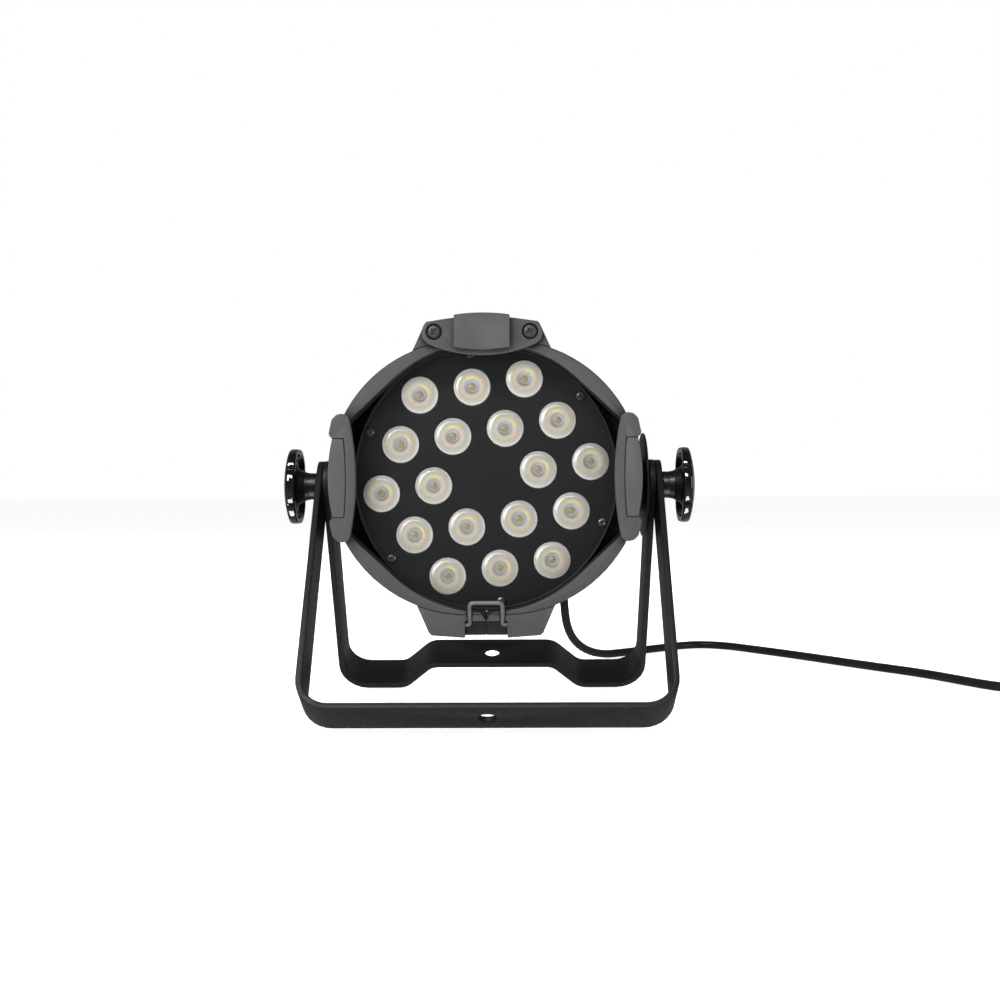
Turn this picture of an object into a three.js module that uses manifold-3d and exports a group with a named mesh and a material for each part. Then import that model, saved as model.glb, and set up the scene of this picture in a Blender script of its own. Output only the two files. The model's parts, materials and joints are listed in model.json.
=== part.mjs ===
// An LED par can stage light on a double-yoke floor stand. Millimetres, +Z up.
// The light shines towards -Y. The origin is on the floor, under the middle of the fixture's box.
import * as THREE from 'three';
import { mergeVertices } from 'three/addons/utils/BufferGeometryUtils.js';
import Module from 'manifold-3d';

const wasm = await Module();
wasm.setup();

// ---------------------------------------------------------------- driving dimensions
const DEGREE = Math.PI / 180;
const GAP = 0.3; // between pieces that touch
const FAR = 400; // longer than anything a cutter has to pass through

const PIVOT_BOLT_RADIUS = 4;
const PIVOT_HOLE_RADIUS = 4.6;

// Both yokes are bent from one flat strip. Lengths run from the pivot axis to the outer face of the base.
const STRIP = { width: 28.6, thickness: 4, bendRadius: 20, abovePivot: 17, clampHoleRadius: 5.5 };
const FRONT_YOKE = { span: 225, length: 165.4, tilt: 34.6 * DEGREE };
const REAR_YOKE = { span: 216, length: 157.1, rise: 18, riseHalfWidth: 43, footInner: 62, kneeRadius: 12 };

// The head. Its front face looks along -Y, and depths are measured from the pivot axis.
const HEAD_HEIGHT = 5; // centre of the round head above the pivot axis
const HEAD_X = -1.2; // the head sits a little to the left between the yokes
const DEPTH = {
  catchBlockFront: -71,
  clipFront: -70.3,
  padFloor: -67.3,
  clipPlateFront: -66.5,
  slotFront: -65,
  ringFront: -62,
  lensFront: -45.1,
  plateFront: -43.6,
  plateBack: -41.6,
  blockBack: -40,
  lensBack: -36,
  boardFront: -35.7,
  boardBack: -34.1,
  spigotFront: -33.8,
  ringBack: -26,
  flangeFront: -25.7,
  flangeBack: -20,
  finsBack: 44,
  coverFront: 44.3,
  coverBack: 62,
  cordExit: 92,
};
const RING = { radius: 83.7, backRadius: 85.6, centreOffset: 12, openingRadius: 82.4, seam: 0.4 };
const WING = { angle: 47 * DEGREE, side: 87 }; // where the opening leaves its circle, and its half width
// The shoulder and the clip on it stand a little to the left of the lens plate's middle.
const TOP_SHIFT = -1.5;
const SHOULDER = { baseHalf: 43.1, topHalf: 34.6, base: 76, top: 95, crown: 97.5 };
const CHIN = {
  baseHalf: 44,
  tipHalf: 34.4,
  base: -74,
  tip: -96.4,
  middle: -97.9,
  notchHalf: 13,
  notch: -96.8,
};

const PLATE_RADIUS = 81.6;
const LENS = { pitch: 33, gridTurn: 8.45 * DEGREE, radius: 11.5, holeRadius: 11.85, wellRadius: 4.8 };
const PLATE_SCREW = {
  circle: 77.8,
  angles: [40.4, 96.8, 158.6, 220.4, 276.8, 338.6],
  headRadius: 2.8,
  headHeight: 1.5,
  shankRadius: 1.3,
  length: 6,
};

const CATCH = {
  wireRadius: 1.25,
  halfWidth: 10.1,
  footX: 15.4,
  pivotY: -59,
  pivotZ: -90.2,
  topY: -65.2,
  topZ: -76.2,
};
const CLIP_SCREW = {
  x: 29.1,
  z: 88.3,
  headRadius: 3.9,
  headHeight: 1.6,
  length: 11,
  boreRadius: 4.9,
  boreDepth: 2,
  shankRadius: 1.8,
  holeRadius: 2.2,
};

const HUB = {
  neckRadius: 18,
  discRadius: 34,
  bossRadius: 16,
  inner: 88.3,
  discInner: 99.3,
  discOuter: 102,
  outer: 103.6,
};
const KNOB = {
  inner: 112.8,
  outer: 134.3,
  starDepth: 9.5,
  neckRadius: 8.7,
  radius: 25.6,
  lobeDepth: 3,
  lobes: 6,
};
const STUD = { start: 4, intoKnob: 10 };

const HEAT_SINK = {
  core: 58,
  fins: 30,
  finThickness: 3.4,
  frontRadius: 80,
  backRadius: 67,
  cavity: 50,
  spigotRadius: 81.4,
  postRadius: 3.2,
  sideBossRadius: 21,
  ledgeTop: -23.4,
};
const COVER = { radius: 66, wall: 3 };
const BOARD = { radius: 73.5, driverTop: -21.4 };
const PANEL = {
  display: { x: 0, z: 45, width: 36, height: 14 },
  button: { z: 30, spacing: 13, radius: 3.4, flangeRadius: 4.8, count: 4 },
  dataIn: { x: -24, z: 3 },
  dataOut: { x: 7, z: 3 },
  socket: {
    halfWidth: 13,
    halfHeight: 15.5,
    bodyRadius: 11.6,
    holeRadius: 12,
    cupRadius: 9.4,
    cupDepth: 11,
  },
  fuse: { x: 28, z: -32, radius: 7, bodyRadius: 6, holeRadius: 6.3 },
  eye: { x: -14, z: -36, depth: 7 },
  cord: { x: 45.2, z: 0, threadRadius: 6, holeRadius: 6.3 },
};

// The mains cord is 6.5 mm thick, and goes from the strain relief by way of a coil to its plug.
const CORD_RADIUS = 3.25;
const FLOOR_CLEARANCE = 0.05;
const COIL = {
  x: 401,
  y: 42.5,
  innerTurn: 29.25,
  outerTurn: 35.75,
  layers: 2,
  arriveAngle: 223,
  leaveAngle: 360,
};
const COIL_LUG = 25; // how far the cord runs straight into the coil
const PLUG_LUG = 40; // and out of it, climbing to the middle of the plug
const PLUG = { sleeve: 30, length: 60, radius: 18.3, pinLength: 19, pinSpacing: 19, pinRadius: 2.4 };

// ---------------------------------------------------------------- worked-out positions
// The rear yoke leans back until its front edge is on the same floor as the front yoke's rear edge.
const STRIP_HALF = STRIP.width / 2;
const frontSin = Math.sin(FRONT_YOKE.tilt);
const frontCos = Math.cos(FRONT_YOKE.tilt);
const PIVOT_HEIGHT = FRONT_YOKE.length * frontCos + STRIP_HALF * frontSin;
const REAR_REACH = Math.hypot(REAR_YOKE.length, STRIP_HALF);
const REAR_TILT = Math.atan(STRIP_HALF / REAR_YOKE.length) + Math.acos(PIVOT_HEIGHT / REAR_REACH);
const FRONT_FOOT = -FRONT_YOKE.length * frontSin - STRIP_HALF * frontCos;
const REAR_FOOT = REAR_YOKE.length * Math.sin(REAR_TILT) + STRIP_HALF * Math.cos(REAR_TILT);
const PIVOT_Y = -(FRONT_FOOT + REAR_FOOT) / 2;
const CORD_LIE = -PIVOT_HEIGHT + CORD_RADIUS + FLOOR_CLEARANCE; // height of a cord that lies on the floor

// ---------------------------------------------------------------- materials
function material(color, roughness, metalness) {
  return new THREE.MeshStandardMaterial({ color, roughness, metalness });
}
const greyPaint = material(0x5d5e60, 0.62, 0.1);
const padGrey = material(0x646567, 0.6, 0.05);
const blackPaint = material(0x1b1b1c, 0.5, 0.3);
const plateBlack = material(0x161617, 0.55, 0.1);
const castBlack = material(0x202122, 0.6, 0.2);
const glossBlack = material(0x060606, 0.12, 0);
const steel = material(0xa9abad, 0.3, 1);
const wireSteel = material(0x6b6d70, 0.4, 0.9);
const frostedLens = material(0xd8d4c4, 0.3, 0);
const boardGreen = material(0x1c4a2e, 0.6, 0);
const boardWhite = material(0xe4e4de, 0.5, 0);
const cordBlack = material(0x0c0c0c, 0.45, 0);
const displayGlass = material(0x0a1418, 0.1, 0);
const buttonGrey = material(0x8b8d90, 0.5, 0);

// ---------------------------------------------------------------- geometry helpers
const { Vector2, Vector3 } = THREE;

// A closed three.js geometry as a solid that can be joined and cut.
function toSolid(geometry) {
  geometry.deleteAttribute('normal');
  geometry.deleteAttribute('uv');
  const welded = mergeVertices(geometry, 1e-4);
  const index = welded.index.array;
  const triangles = [];
  for (let i = 0; i < index.length; i += 3) {
    const [a, b, c] = [index[i], index[i + 1], index[i + 2]];
    if (a !== b && b !== c && c !== a) triangles.push(a, b, c);
  }
  const mesh = new wasm.Mesh({
    numProp: 3,
    vertProperties: new Float32Array(welded.attributes.position.array),
    triVerts: new Uint32Array(triangles),
  });
  return new wasm.Manifold(mesh);
}

function toGeometry(solid) {
  const mesh = solid.getMesh();
  const geometry = new THREE.BufferGeometry();
  geometry.setAttribute('position', new THREE.BufferAttribute(mesh.vertProperties, 3));
  geometry.setIndex(new THREE.BufferAttribute(mesh.triVerts, 1));
  geometry.computeVertexNormals();
  return geometry;
}

// A shape drawn in X and Z, seen from the front, from depth yFront back to yBack.
function frontPrism(shape, yFront, yBack, curveSegments = 12) {
  const geometry = new THREE.ExtrudeGeometry(shape, {
    depth: yBack - yFront,
    bevelEnabled: false,
    curveSegments,
  });
  return toSolid(geometry.rotateX(Math.PI / 2).translate(0, yBack, 0));
}

// A shape drawn in Y and Z, seen from the side, from xLeft to xRight.
function sidePrism(shape, xLeft, xRight, curveSegments = 12) {
  const geometry = new THREE.ExtrudeGeometry(shape, {
    depth: xRight - xLeft,
    bevelEnabled: false,
    curveSegments,
  });
  const axes = new THREE.Matrix4();
  axes.makeBasis(new Vector3(0, 1, 0), new Vector3(0, 0, 1), new Vector3(1, 0, 0));
  return toSolid(geometry.applyMatrix4(axes).translate(xLeft, 0, 0));
}

// A profile of [radius, depth] pairs turned about an axis parallel to Y through x, z.
function turnedAboutY(profile, x, z, segments) {
  const points = profile.map(([radius, y]) => new Vector2(radius, y));
  return toSolid(new THREE.LatheGeometry(points, segments).translate(x, 0, z));
}

// A profile of [radius, distance from the middle] pairs turned about the pivot axis, on one side.
function turnedAboutPivot(profile, side, segments) {
  const points = profile.map(([radius, x]) => new Vector2(radius, x));
  return toSolid(new THREE.LatheGeometry(points, segments).rotateZ((-side * Math.PI) / 2));
}

// A bar of round section along a curve.
function bar(curve, radius, sides, steps) {
  const section = new THREE.Shape(circlePoints(radius, sides));
  return toSolid(new THREE.ExtrudeGeometry(section, { extrudePath: curve, steps, bevelEnabled: false }));
}

function straightBar(from, to, radius, sides) {
  return bar(new THREE.LineCurve3(from, to), radius, sides, 1);
}

function circlePoints(radius, count, x = 0, y = 0) {
  const points = [];
  for (let i = 0; i < count; i += 1) {
    const angle = ((i + 0.5) / count) * 2 * Math.PI;
    points.push(new Vector2(x + radius * Math.cos(angle), y + radius * Math.sin(angle)));
  }
  return points;
}

function circleShape(radius, x = 0, y = 0, count = 24) {
  return new THREE.Shape(circlePoints(radius, count, x, y));
}

function rectangle(left, right, bottom, top) {
  return new THREE.Shape([
    new Vector2(left, bottom),
    new Vector2(right, bottom),
    new Vector2(right, top),
    new Vector2(left, top),
  ]);
}

// A block that is a box in the row's own directions.
function block(x, y, z) {
  return frontPrism(rectangle(x[0], x[1], z[0], z[1]), y[0], y[1]);
}

// Points from one to another along an arc that stands out by bulge to the right of the way there.
function arcPoints(from, to, bulge, steps) {
  const chord = to.clone().sub(from);
  const half = chord.length() / 2;
  const radius = (half * half + bulge * bulge) / (2 * Math.abs(bulge));
  const out = new Vector2(chord.y, -chord.x).normalize().multiplyScalar(Math.sign(bulge));
  const centre = from.clone().add(to).multiplyScalar(0.5).addScaledVector(out, Math.abs(bulge) - radius);
  const sweep = 2 * Math.asin(half / radius) * Math.sign(bulge);
  const spoke = from.clone().sub(centre);
  const points = [];
  for (let i = 0; i <= steps; i += 1) {
    points.push(spoke.clone().rotateAround(new Vector2(), (sweep * i) / steps).add(centre));
  }
  return points;
}

// A path through corners, each inner corner rounded to its radius.
function roundedPath(corners, radius, steps) {
  const points = [corners[0]];
  for (let i = 1; i < corners.length - 1; i += 1) {
    const corner = corners[i];
    const back = corners[i - 1].clone().sub(corner).normalize();
    const on = corners[i + 1].clone().sub(corner).normalize();
    const half = back.angleTo(on) / 2;
    const size = Array.isArray(radius) ? radius[i - 1] : radius;
    const start = corner.clone().addScaledVector(back, size / Math.tan(half));
    const end = corner.clone().addScaledVector(on, size / Math.tan(half));
    const turn = Math.sign(back.cross(on)) * -1;
    points.push(...arcPoints(start, end, turn * size * (1 - Math.sin(half)), steps));
  }
  points.push(corners[corners.length - 1]);
  return points;
}

// The outline of a flat strip of even thickness bent along a path.
function stripShape(path, thickness) {
  const left = [];
  const right = [];
  path.forEach((point, i) => {
    const before = path[Math.max(i - 1, 0)];
    const after = path[Math.min(i + 1, path.length - 1)];
    const along = after.clone().sub(before).normalize();
    const across = new Vector2(-along.y, along.x).multiplyScalar(thickness / 2);
    left.push(point.clone().add(across));
    right.unshift(point.clone().sub(across));
  });
  return new THREE.Shape([...left, ...right]);
}

// ---------------------------------------------------------------- the fixture's groups
const fixture = new THREE.Group(); // its origin is the middle of the pivot axis
fixture.position.set(0, PIVOT_Y, PIVOT_HEIGHT);
const head = new THREE.Group(); // its origin is the centre of the round head, above the pivot axis
head.position.set(HEAD_X, 0, HEAD_HEIGHT);
const backPanel = new THREE.Group(); // its origin is level with the pivot axis
backPanel.position.set(HEAD_X, 0, 0);
fixture.add(head, backPanel);

function addPart(group, name, solid, finish) {
  const mesh = new THREE.Mesh(toGeometry(solid), finish);
  mesh.name = name;
  group.add(mesh);
  return mesh;
}

// ---------------------------------------------------------------- yokes
// A yoke stands upright here, with its base below, and is then tilted about the pivot axis.
function yokeSolid(basePath) {
  const half = STRIP_HALF;
  const strip = frontPrism(stripShape(basePath, STRIP.thickness), -half, half);
  const topCentre = STRIP.abovePivot - half;
  const legOutline = new THREE.Shape([
    new Vector2(half + 1, -FAR),
    ...arcPoints(new Vector2(half, topCentre), new Vector2(-half, topCentre), half, 12),
    new Vector2(-half - 1, -FAR),
  ]);
  const pivotHoles = sidePrism(circleShape(PIVOT_HOLE_RADIUS, 0, 0, 20), -FAR, FAR);
  const clampHole = straightBar(new Vector3(0, 0, -FAR), new Vector3(0, 0, 0), STRIP.clampHoleRadius, 24);
  return strip.intersect(sidePrism(legOutline, -FAR, FAR)).subtract(pivotHoles).subtract(clampHole);
}

function frontYoke() {
  const side = FRONT_YOKE.span / 2 - STRIP.thickness / 2;
  const base = -FRONT_YOKE.length + STRIP.thickness / 2;
  const corners = [
    new Vector2(-side, FAR / 10),
    new Vector2(-side, base),
    new Vector2(side, base),
    new Vector2(side, FAR / 10),
  ];
  return yokeSolid(roundedPath(corners, STRIP.bendRadius - STRIP.thickness / 2, 8));
}

function rearYoke() {
  const side = REAR_YOKE.span / 2 - STRIP.thickness / 2;
  const base = -REAR_YOKE.length + STRIP.thickness / 2;
  const raised = base + REAR_YOKE.rise;
  const corners = [
    new Vector2(-side, FAR / 10),
    new Vector2(-side, base),
    new Vector2(-REAR_YOKE.footInner, base),
    new Vector2(-REAR_YOKE.riseHalfWidth, raised),
    new Vector2(REAR_YOKE.riseHalfWidth, raised),
    new Vector2(REAR_YOKE.footInner, base),
    new Vector2(side, base),
    new Vector2(side, FAR / 10),
  ];
  const bend = STRIP.bendRadius - STRIP.thickness / 2;
  const knee = REAR_YOKE.kneeRadius;
  return yokeSolid(roundedPath(corners, [bend, knee, knee, knee, knee, bend], 6));
}

addPart(fixture, 'front_yoke', frontYoke(), blackPaint).rotation.x = -FRONT_YOKE.tilt;
addPart(fixture, 'rear_yoke', rearYoke(), blackPaint).rotation.x = REAR_TILT;

// ---------------------------------------------------------------- pivots: hubs, studs and star knobs
function hub(side) {
  const profile = [
    [PIVOT_HOLE_RADIUS, HUB.inner],
    [HUB.neckRadius, HUB.inner],
    [HUB.neckRadius, HUB.discInner],
    [HUB.discRadius, HUB.discInner],
    [HUB.discRadius, HUB.discOuter],
    [HUB.bossRadius, HUB.discOuter],
    [HUB.bossRadius, HUB.outer],
    [PIVOT_HOLE_RADIUS, HUB.outer],
    [PIVOT_HOLE_RADIUS, HUB.inner],
  ];
  return turnedAboutPivot(profile, side, 28);
}

function stud(side) {
  const profile = [
    [0, HUB.inner + STUD.start],
    [PIVOT_BOLT_RADIUS - 0.8, HUB.inner + STUD.start],
    [PIVOT_BOLT_RADIUS, HUB.inner + STUD.start + 1],
    [PIVOT_BOLT_RADIUS, KNOB.inner + STUD.intoKnob],
    [0, KNOB.inner + STUD.intoKnob],
  ];
  return turnedAboutPivot(profile, side, 16);
}

// A star with rounded lobes whose outer face is domed, on a waisted neck, hollow for the stud.
function knob(side) {
  const points = [];
  const count = KNOB.lobes * 8;
  for (let i = 0; i < count; i += 1) {
    const angle = (i / count) * 2 * Math.PI;
    const radius = KNOB.radius - KNOB.lobeDepth * (1 - Math.abs(Math.cos((KNOB.lobes / 2) * angle)) ** 0.7);
    points.push(new Vector2(radius * Math.cos(angle), radius * Math.sin(angle)));
  }
  const starBack = KNOB.outer - KNOB.starDepth;
  const ends = [side * starBack, side * KNOB.outer].sort((a, b) => a - b);
  const star = sidePrism(new THREE.Shape(points), ends[0], ends[1]);
  const dome = turnedAboutPivot([
    [0, starBack],
    [24.8, starBack],
    [25.8, starBack + 1],
    [25.8, starBack + 3.2],
    [24.6, starBack + 4.6],
    [17, starBack + 7.4],
    [9, starBack + 8.9],
    [0, KNOB.outer],
  ], side, 24);
  const neck = turnedAboutPivot([
    [0, KNOB.inner],
    [KNOB.neckRadius, KNOB.inner],
    [KNOB.neckRadius, KNOB.inner + 5],
    [KNOB.neckRadius + 0.7, KNOB.inner + 9],
    [KNOB.neckRadius + 2.4, starBack],
    [KNOB.neckRadius + 2.4, starBack + 2],
    [0, starBack + 2],
  ], side, 18);
  const bore = turnedAboutPivot([
    [0, KNOB.inner - 1],
    [PIVOT_BOLT_RADIUS + GAP, KNOB.inner - 1],
    [PIVOT_BOLT_RADIUS + GAP, KNOB.inner + STUD.intoKnob + GAP],
    [0, KNOB.inner + STUD.intoKnob + GAP],
  ], side, 16);
  return star.intersect(dome).add(neck).subtract(bore);
}

for (const [word, side] of [['left', -1], ['right', 1]]) {
  addPart(fixture, `hub_${word}`, hub(side), blackPaint);
  addPart(fixture, `stud_${word}`, stud(side), steel);
  addPart(fixture, `knob_${word}`, knob(side), glossBlack);
}

// ---------------------------------------------------------------- the front ring, in two halves
// The opening is a circle that widens at both sides along tangents, into the wings behind the side clips.
function openingShape() {
  const radius = RING.openingRadius;
  const corner = new Vector2(Math.cos(WING.angle), Math.sin(WING.angle)).multiplyScalar(radius);
  const run = (WING.side - corner.x) / Math.sin(WING.angle);
  const wingHeight = corner.y - run * Math.cos(WING.angle);
  const points = [];
  for (const turn of [1, -1]) {
    const start = turn > 0 ? WING.angle : Math.PI + WING.angle;
    const sweep = Math.PI - 2 * WING.angle;
    for (let i = 0; i <= 20; i += 1) {
      const angle = start + (sweep * i) / 20;
      points.push(new Vector2(radius * Math.cos(angle), radius * Math.sin(angle)));
    }
    points.push(new Vector2(-turn * WING.side, turn * wingHeight));
    points.push(new Vector2(-turn * WING.side, -turn * wingHeight));
  }
  return new THREE.Shape(points);
}

function shoulderShape() {
  return new THREE.Shape([
    new Vector2(-SHOULDER.baseHalf, SHOULDER.base - 8),
    new Vector2(SHOULDER.baseHalf, SHOULDER.base - 8),
    new Vector2(SHOULDER.baseHalf, SHOULDER.base),
    new Vector2(SHOULDER.topHalf + 0.6, SHOULDER.top - 1.6),
    ...arcPoints(
      new Vector2(SHOULDER.topHalf - 0.8, SHOULDER.top),
      new Vector2(0.8 - SHOULDER.topHalf, SHOULDER.top),
      SHOULDER.crown - SHOULDER.top,
      8,
    ),
    new Vector2(-SHOULDER.topHalf - 0.6, SHOULDER.top - 1.6),
    new Vector2(-SHOULDER.baseHalf, SHOULDER.base),
  ].map((point) => point.add(new Vector2(TOP_SHIFT, 0))));
}

function chinShape() {
  const right = [
    new Vector2(CHIN.notchHalf, CHIN.notch),
    new Vector2(CHIN.notchHalf, CHIN.middle),
    new Vector2(CHIN.tipHalf - 1, CHIN.tip),
    new Vector2(CHIN.tipHalf + 0.6, CHIN.tip + 1.6),
    new Vector2(CHIN.baseHalf, CHIN.base),
    new Vector2(CHIN.baseHalf, CHIN.base + 8),
  ];
  const left = right.map((point) => new Vector2(-point.x, point.y)).reverse();
  return new THREE.Shape([...right, ...left]);
}

// The pocket in the chin that the wire catch's feet turn in, with a groove for each leg.
function catchPocket() {
  const back = CATCH.pivotY + 2.6;
  const floor = block([-CHIN.notchHalf, CHIN.notchHalf], [-FAR, back], [-FAR, -87.6]);
  const legGroove = CATCH.wireRadius + 0.45;
  const feet = sidePrism(circleShape(CATCH.wireRadius + 0.35, CATCH.pivotY, CATCH.pivotZ, 16), -16, 16);
  let pocket = floor.add(feet);
  for (const x of [-CATCH.halfWidth, CATCH.halfWidth]) {
    pocket = pocket.add(block([x - legGroove, x + legGroove], [-FAR, back], [-88, -78.2]));
  }
  return pocket;
}

function ringSolid() {
  const flare = [
    [0, DEPTH.ringFront],
    [RING.radius - 1, DEPTH.ringFront],
    [RING.radius, DEPTH.ringFront + 1],
    [RING.backRadius, DEPTH.ringBack],
    [0, DEPTH.ringBack],
  ];
  const right = turnedAboutY(flare, RING.centreOffset, 0, 84);
  const left = turnedAboutY(flare, -RING.centreOffset, 0, 84);
  const rightHalf = block([0, FAR], [-FAR, FAR], [-FAR, FAR]);
  const leftHalf = block([-FAR, 0], [-FAR, FAR], [-FAR, FAR]);
  const band = right.intersect(rightHalf).add(left.intersect(leftHalf));
  const shoulder = frontPrism(shoulderShape(), DEPTH.ringFront, DEPTH.blockBack);
  const chin = frontPrism(chinShape(), DEPTH.ringFront, DEPTH.blockBack);
  const opening = frontPrism(openingShape(), -FAR, FAR);
  const seamMark = frontPrism(new THREE.Shape([
    new Vector2(-4.8, -80),
    new Vector2(0, -87.4),
    new Vector2(4.8, -80),
  ]), -FAR, DEPTH.ringFront + 3);
  let ring = band.add(shoulder).add(chin).subtract(opening).subtract(catchPocket()).subtract(seamMark);
  for (const x of [-CLIP_SCREW.x, CLIP_SCREW.x]) {
    const hole = circleShape(CLIP_SCREW.holeRadius, x + TOP_SHIFT, CLIP_SCREW.z, 12);
    ring = ring.subtract(frontPrism(hole, -FAR, DEPTH.ringFront + 12));
  }
  return ring;
}

const ring = ringSolid();
const seam = RING.seam / 2;
addPart(head, 'ring_left', ring.intersect(block([-FAR, -seam], [-FAR, FAR], [-FAR, FAR])), greyPaint);
addPart(head, 'ring_right', ring.intersect(block([seam, FAR], [-FAR, FAR], [-FAR, FAR])), greyPaint);

// ---------------------------------------------------------------- top clip and its screws
function topClip() {
  const plate = new THREE.Shape([
    ...arcPoints(new Vector2(33.5, 94.2), new Vector2(-33.5, 94.2), 3.4, 10),
    new Vector2(-35.6, 91.8),
    new Vector2(-36.8, 87.5),
    new Vector2(-35.8, 83.8),
    ...arcPoints(new Vector2(-33, 81), new Vector2(33, 81), 6.8, 12),
    new Vector2(35.8, 83.8),
    new Vector2(36.8, 87.5),
    new Vector2(35.6, 91.8),
  ]);
  const raised = new THREE.Shape([
    ...arcPoints(new Vector2(16.8, 98), new Vector2(-16.8, 98), 1.2, 6),
    ...arcPoints(new Vector2(-16.8, 78.6), new Vector2(16.8, 78.6), 1.5, 6),
  ]);
  const back = DEPTH.ringFront - GAP;
  const catchBlock = frontPrism(raised, DEPTH.catchBlockFront, back);
  let clip = frontPrism(plate, DEPTH.clipPlateFront, back).add(catchBlock);
  for (const x of [-CLIP_SCREW.x, CLIP_SCREW.x]) {
    const counterbore = circleShape(CLIP_SCREW.boreRadius, x, CLIP_SCREW.z, 20);
    const hole = circleShape(CLIP_SCREW.holeRadius, x, CLIP_SCREW.z, 12);
    clip = clip.subtract(frontPrism(counterbore, -FAR, DEPTH.clipPlateFront + CLIP_SCREW.boreDepth));
    clip = clip.subtract(frontPrism(hole, -FAR, FAR));
  }
  return clip;
}
addPart(head, 'top_clip', topClip(), greyPaint).position.x = TOP_SHIFT;

// A pan-head screw whose head looks along -Y.
function screw(x, z, seat, size) {
  const { headRadius, headHeight, shankRadius, length } = size;
  return turnedAboutY([
    [0, seat - headHeight],
    [headRadius * 0.7, seat - headHeight],
    [headRadius, seat - headHeight * 0.5],
    [headRadius, seat],
    [shankRadius, seat],
    [shankRadius, seat + length],
    [0, seat + length],
  ], x, z, 10);
}

for (const [word, side] of [['left', -1], ['right', 1]]) {
  const seat = DEPTH.clipPlateFront + CLIP_SCREW.boreDepth - GAP;
  const solid = screw(side * CLIP_SCREW.x + TOP_SHIFT, CLIP_SCREW.z, seat, CLIP_SCREW);
  addPart(head, `top_clip_screw_${word}`, solid, steel);
}

// ---------------------------------------------------------------- side clips and their pads
// The outline of a side clip. Its inner edge is bowed, its two ears are rounded, and between them the
// outer edge bulges where the pad is.
function sideClipShape(side) {
  const half = [
    new Vector2(82, 36.2),
    new Vector2(83.6, 38.2),
    new Vector2(86.4, 38.9),
    new Vector2(89.6, 38.2),
    new Vector2(92.4, 35.4),
    new Vector2(94.3, 27),
    new Vector2(93.7, 25.2),
    new Vector2(92.3, 24.2),
  ];
  const inner = arcPoints(new Vector2(82, -36.2), new Vector2(82, 36.2), -3.7, 12).slice(1, -1);
  const outer = arcPoints(new Vector2(92.3, 24.2), new Vector2(92.3, -24.2), -2.8, 8).slice(1, -1);
  const lower = half.map((point) => new Vector2(point.x, -point.y)).reverse();
  const points = [...inner, ...half, ...outer, ...lower];
  return new THREE.Shape(points.map((point) => new Vector2(side * point.x, point.y)));
}

// The pad's outline, made larger all round by grow to give the pocket that it sits in.
function padShape(side, grow) {
  const top = 23.7 + grow;
  const inner = arcPoints(new Vector2(85.6 - grow, -top), new Vector2(85.6 - grow, top), -1.2, 6);
  const reach = grow > 0 ? 110 : 92.3;
  const bulge = grow > 0 ? 1 : 2.7;
  const outer = arcPoints(new Vector2(reach, top), new Vector2(reach, -top), -bulge, 8);
  return new THREE.Shape([...inner, ...outer].map((point) => new Vector2(side * point.x, point.y)));
}

function sideClip(side) {
  const body = frontPrism(sideClipShape(side), DEPTH.clipFront, DEPTH.ringFront - GAP);
  const pocket = frontPrism(padShape(side, GAP), -FAR, DEPTH.padFloor);
  const edges = [side * 70, side * 87].sort((a, b) => a - b);
  const slot = block(edges, [DEPTH.slotFront, FAR], [-FAR, FAR]);
  return body.subtract(pocket).subtract(slot);
}

for (const [word, side] of [['left', -1], ['right', 1]]) {
  addPart(head, `side_clip_${word}`, sideClip(side), greyPaint);
  const pad = frontPrism(padShape(side, 0), DEPTH.clipFront + 0.2, DEPTH.padFloor - GAP);
  addPart(head, `side_pad_${word}`, pad, padGrey);
}

// ---------------------------------------------------------------- wire catch
// A bail of round wire. Its feet turn outward into holes in the chin's pocket.
function wireCatch() {
  const legLength = Math.hypot(CATCH.topY - CATCH.pivotY, CATCH.topZ - CATCH.pivotZ);
  const lean = Math.atan2(CATCH.topY - CATCH.pivotY, CATCH.topZ - CATCH.pivotZ);
  const corners = [
    new Vector2(-CATCH.footX, 0),
    new Vector2(-CATCH.halfWidth, 0),
    new Vector2(-CATCH.halfWidth, legLength),
    new Vector2(CATCH.halfWidth, legLength),
    new Vector2(CATCH.halfWidth, 0),
    new Vector2(CATCH.footX, 0),
  ];
  const path = new THREE.CurvePath();
  const points = roundedPath(corners, [1.6, 3, 3, 1.6], 4);
  const placed = points.map(({ x, y }) => new Vector3(
    x,
    CATCH.pivotY + y * Math.sin(lean),
    CATCH.pivotZ + y * Math.cos(lean),
  ));
  for (let i = 1; i < placed.length; i += 1) {
    path.add(new THREE.LineCurve3(placed[i - 1], placed[i]));
  }
  return bar(path, CATCH.wireRadius, 8, 38);
}
addPart(head, 'wire_catch', wireCatch(), wireSteel);

// ---------------------------------------------------------------- cover plate, lenses and LED board
// Centres of a hexagonal grid of nineteen without its middle one.
function lensCentres() {
  const centres = [];
  for (let a = -2; a <= 2; a += 1) {
    for (let b = -2; b <= 2; b += 1) {
      if (Math.abs(a + b) > 2 || (a === 0 && b === 0)) continue;
      const centre = new Vector2(a + b / 2, (b * Math.sqrt(3)) / 2).multiplyScalar(LENS.pitch);
      centres.push(centre.rotateAround(new Vector2(), LENS.gridTurn));
    }
  }
  return centres.sort((p, q) => q.y - p.y);
}

function screwCentres() {
  const reach = new Vector2(PLATE_SCREW.circle, 0);
  return PLATE_SCREW.angles.map((angle) => reach.clone().rotateAround(new Vector2(), angle * DEGREE));
}

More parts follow.
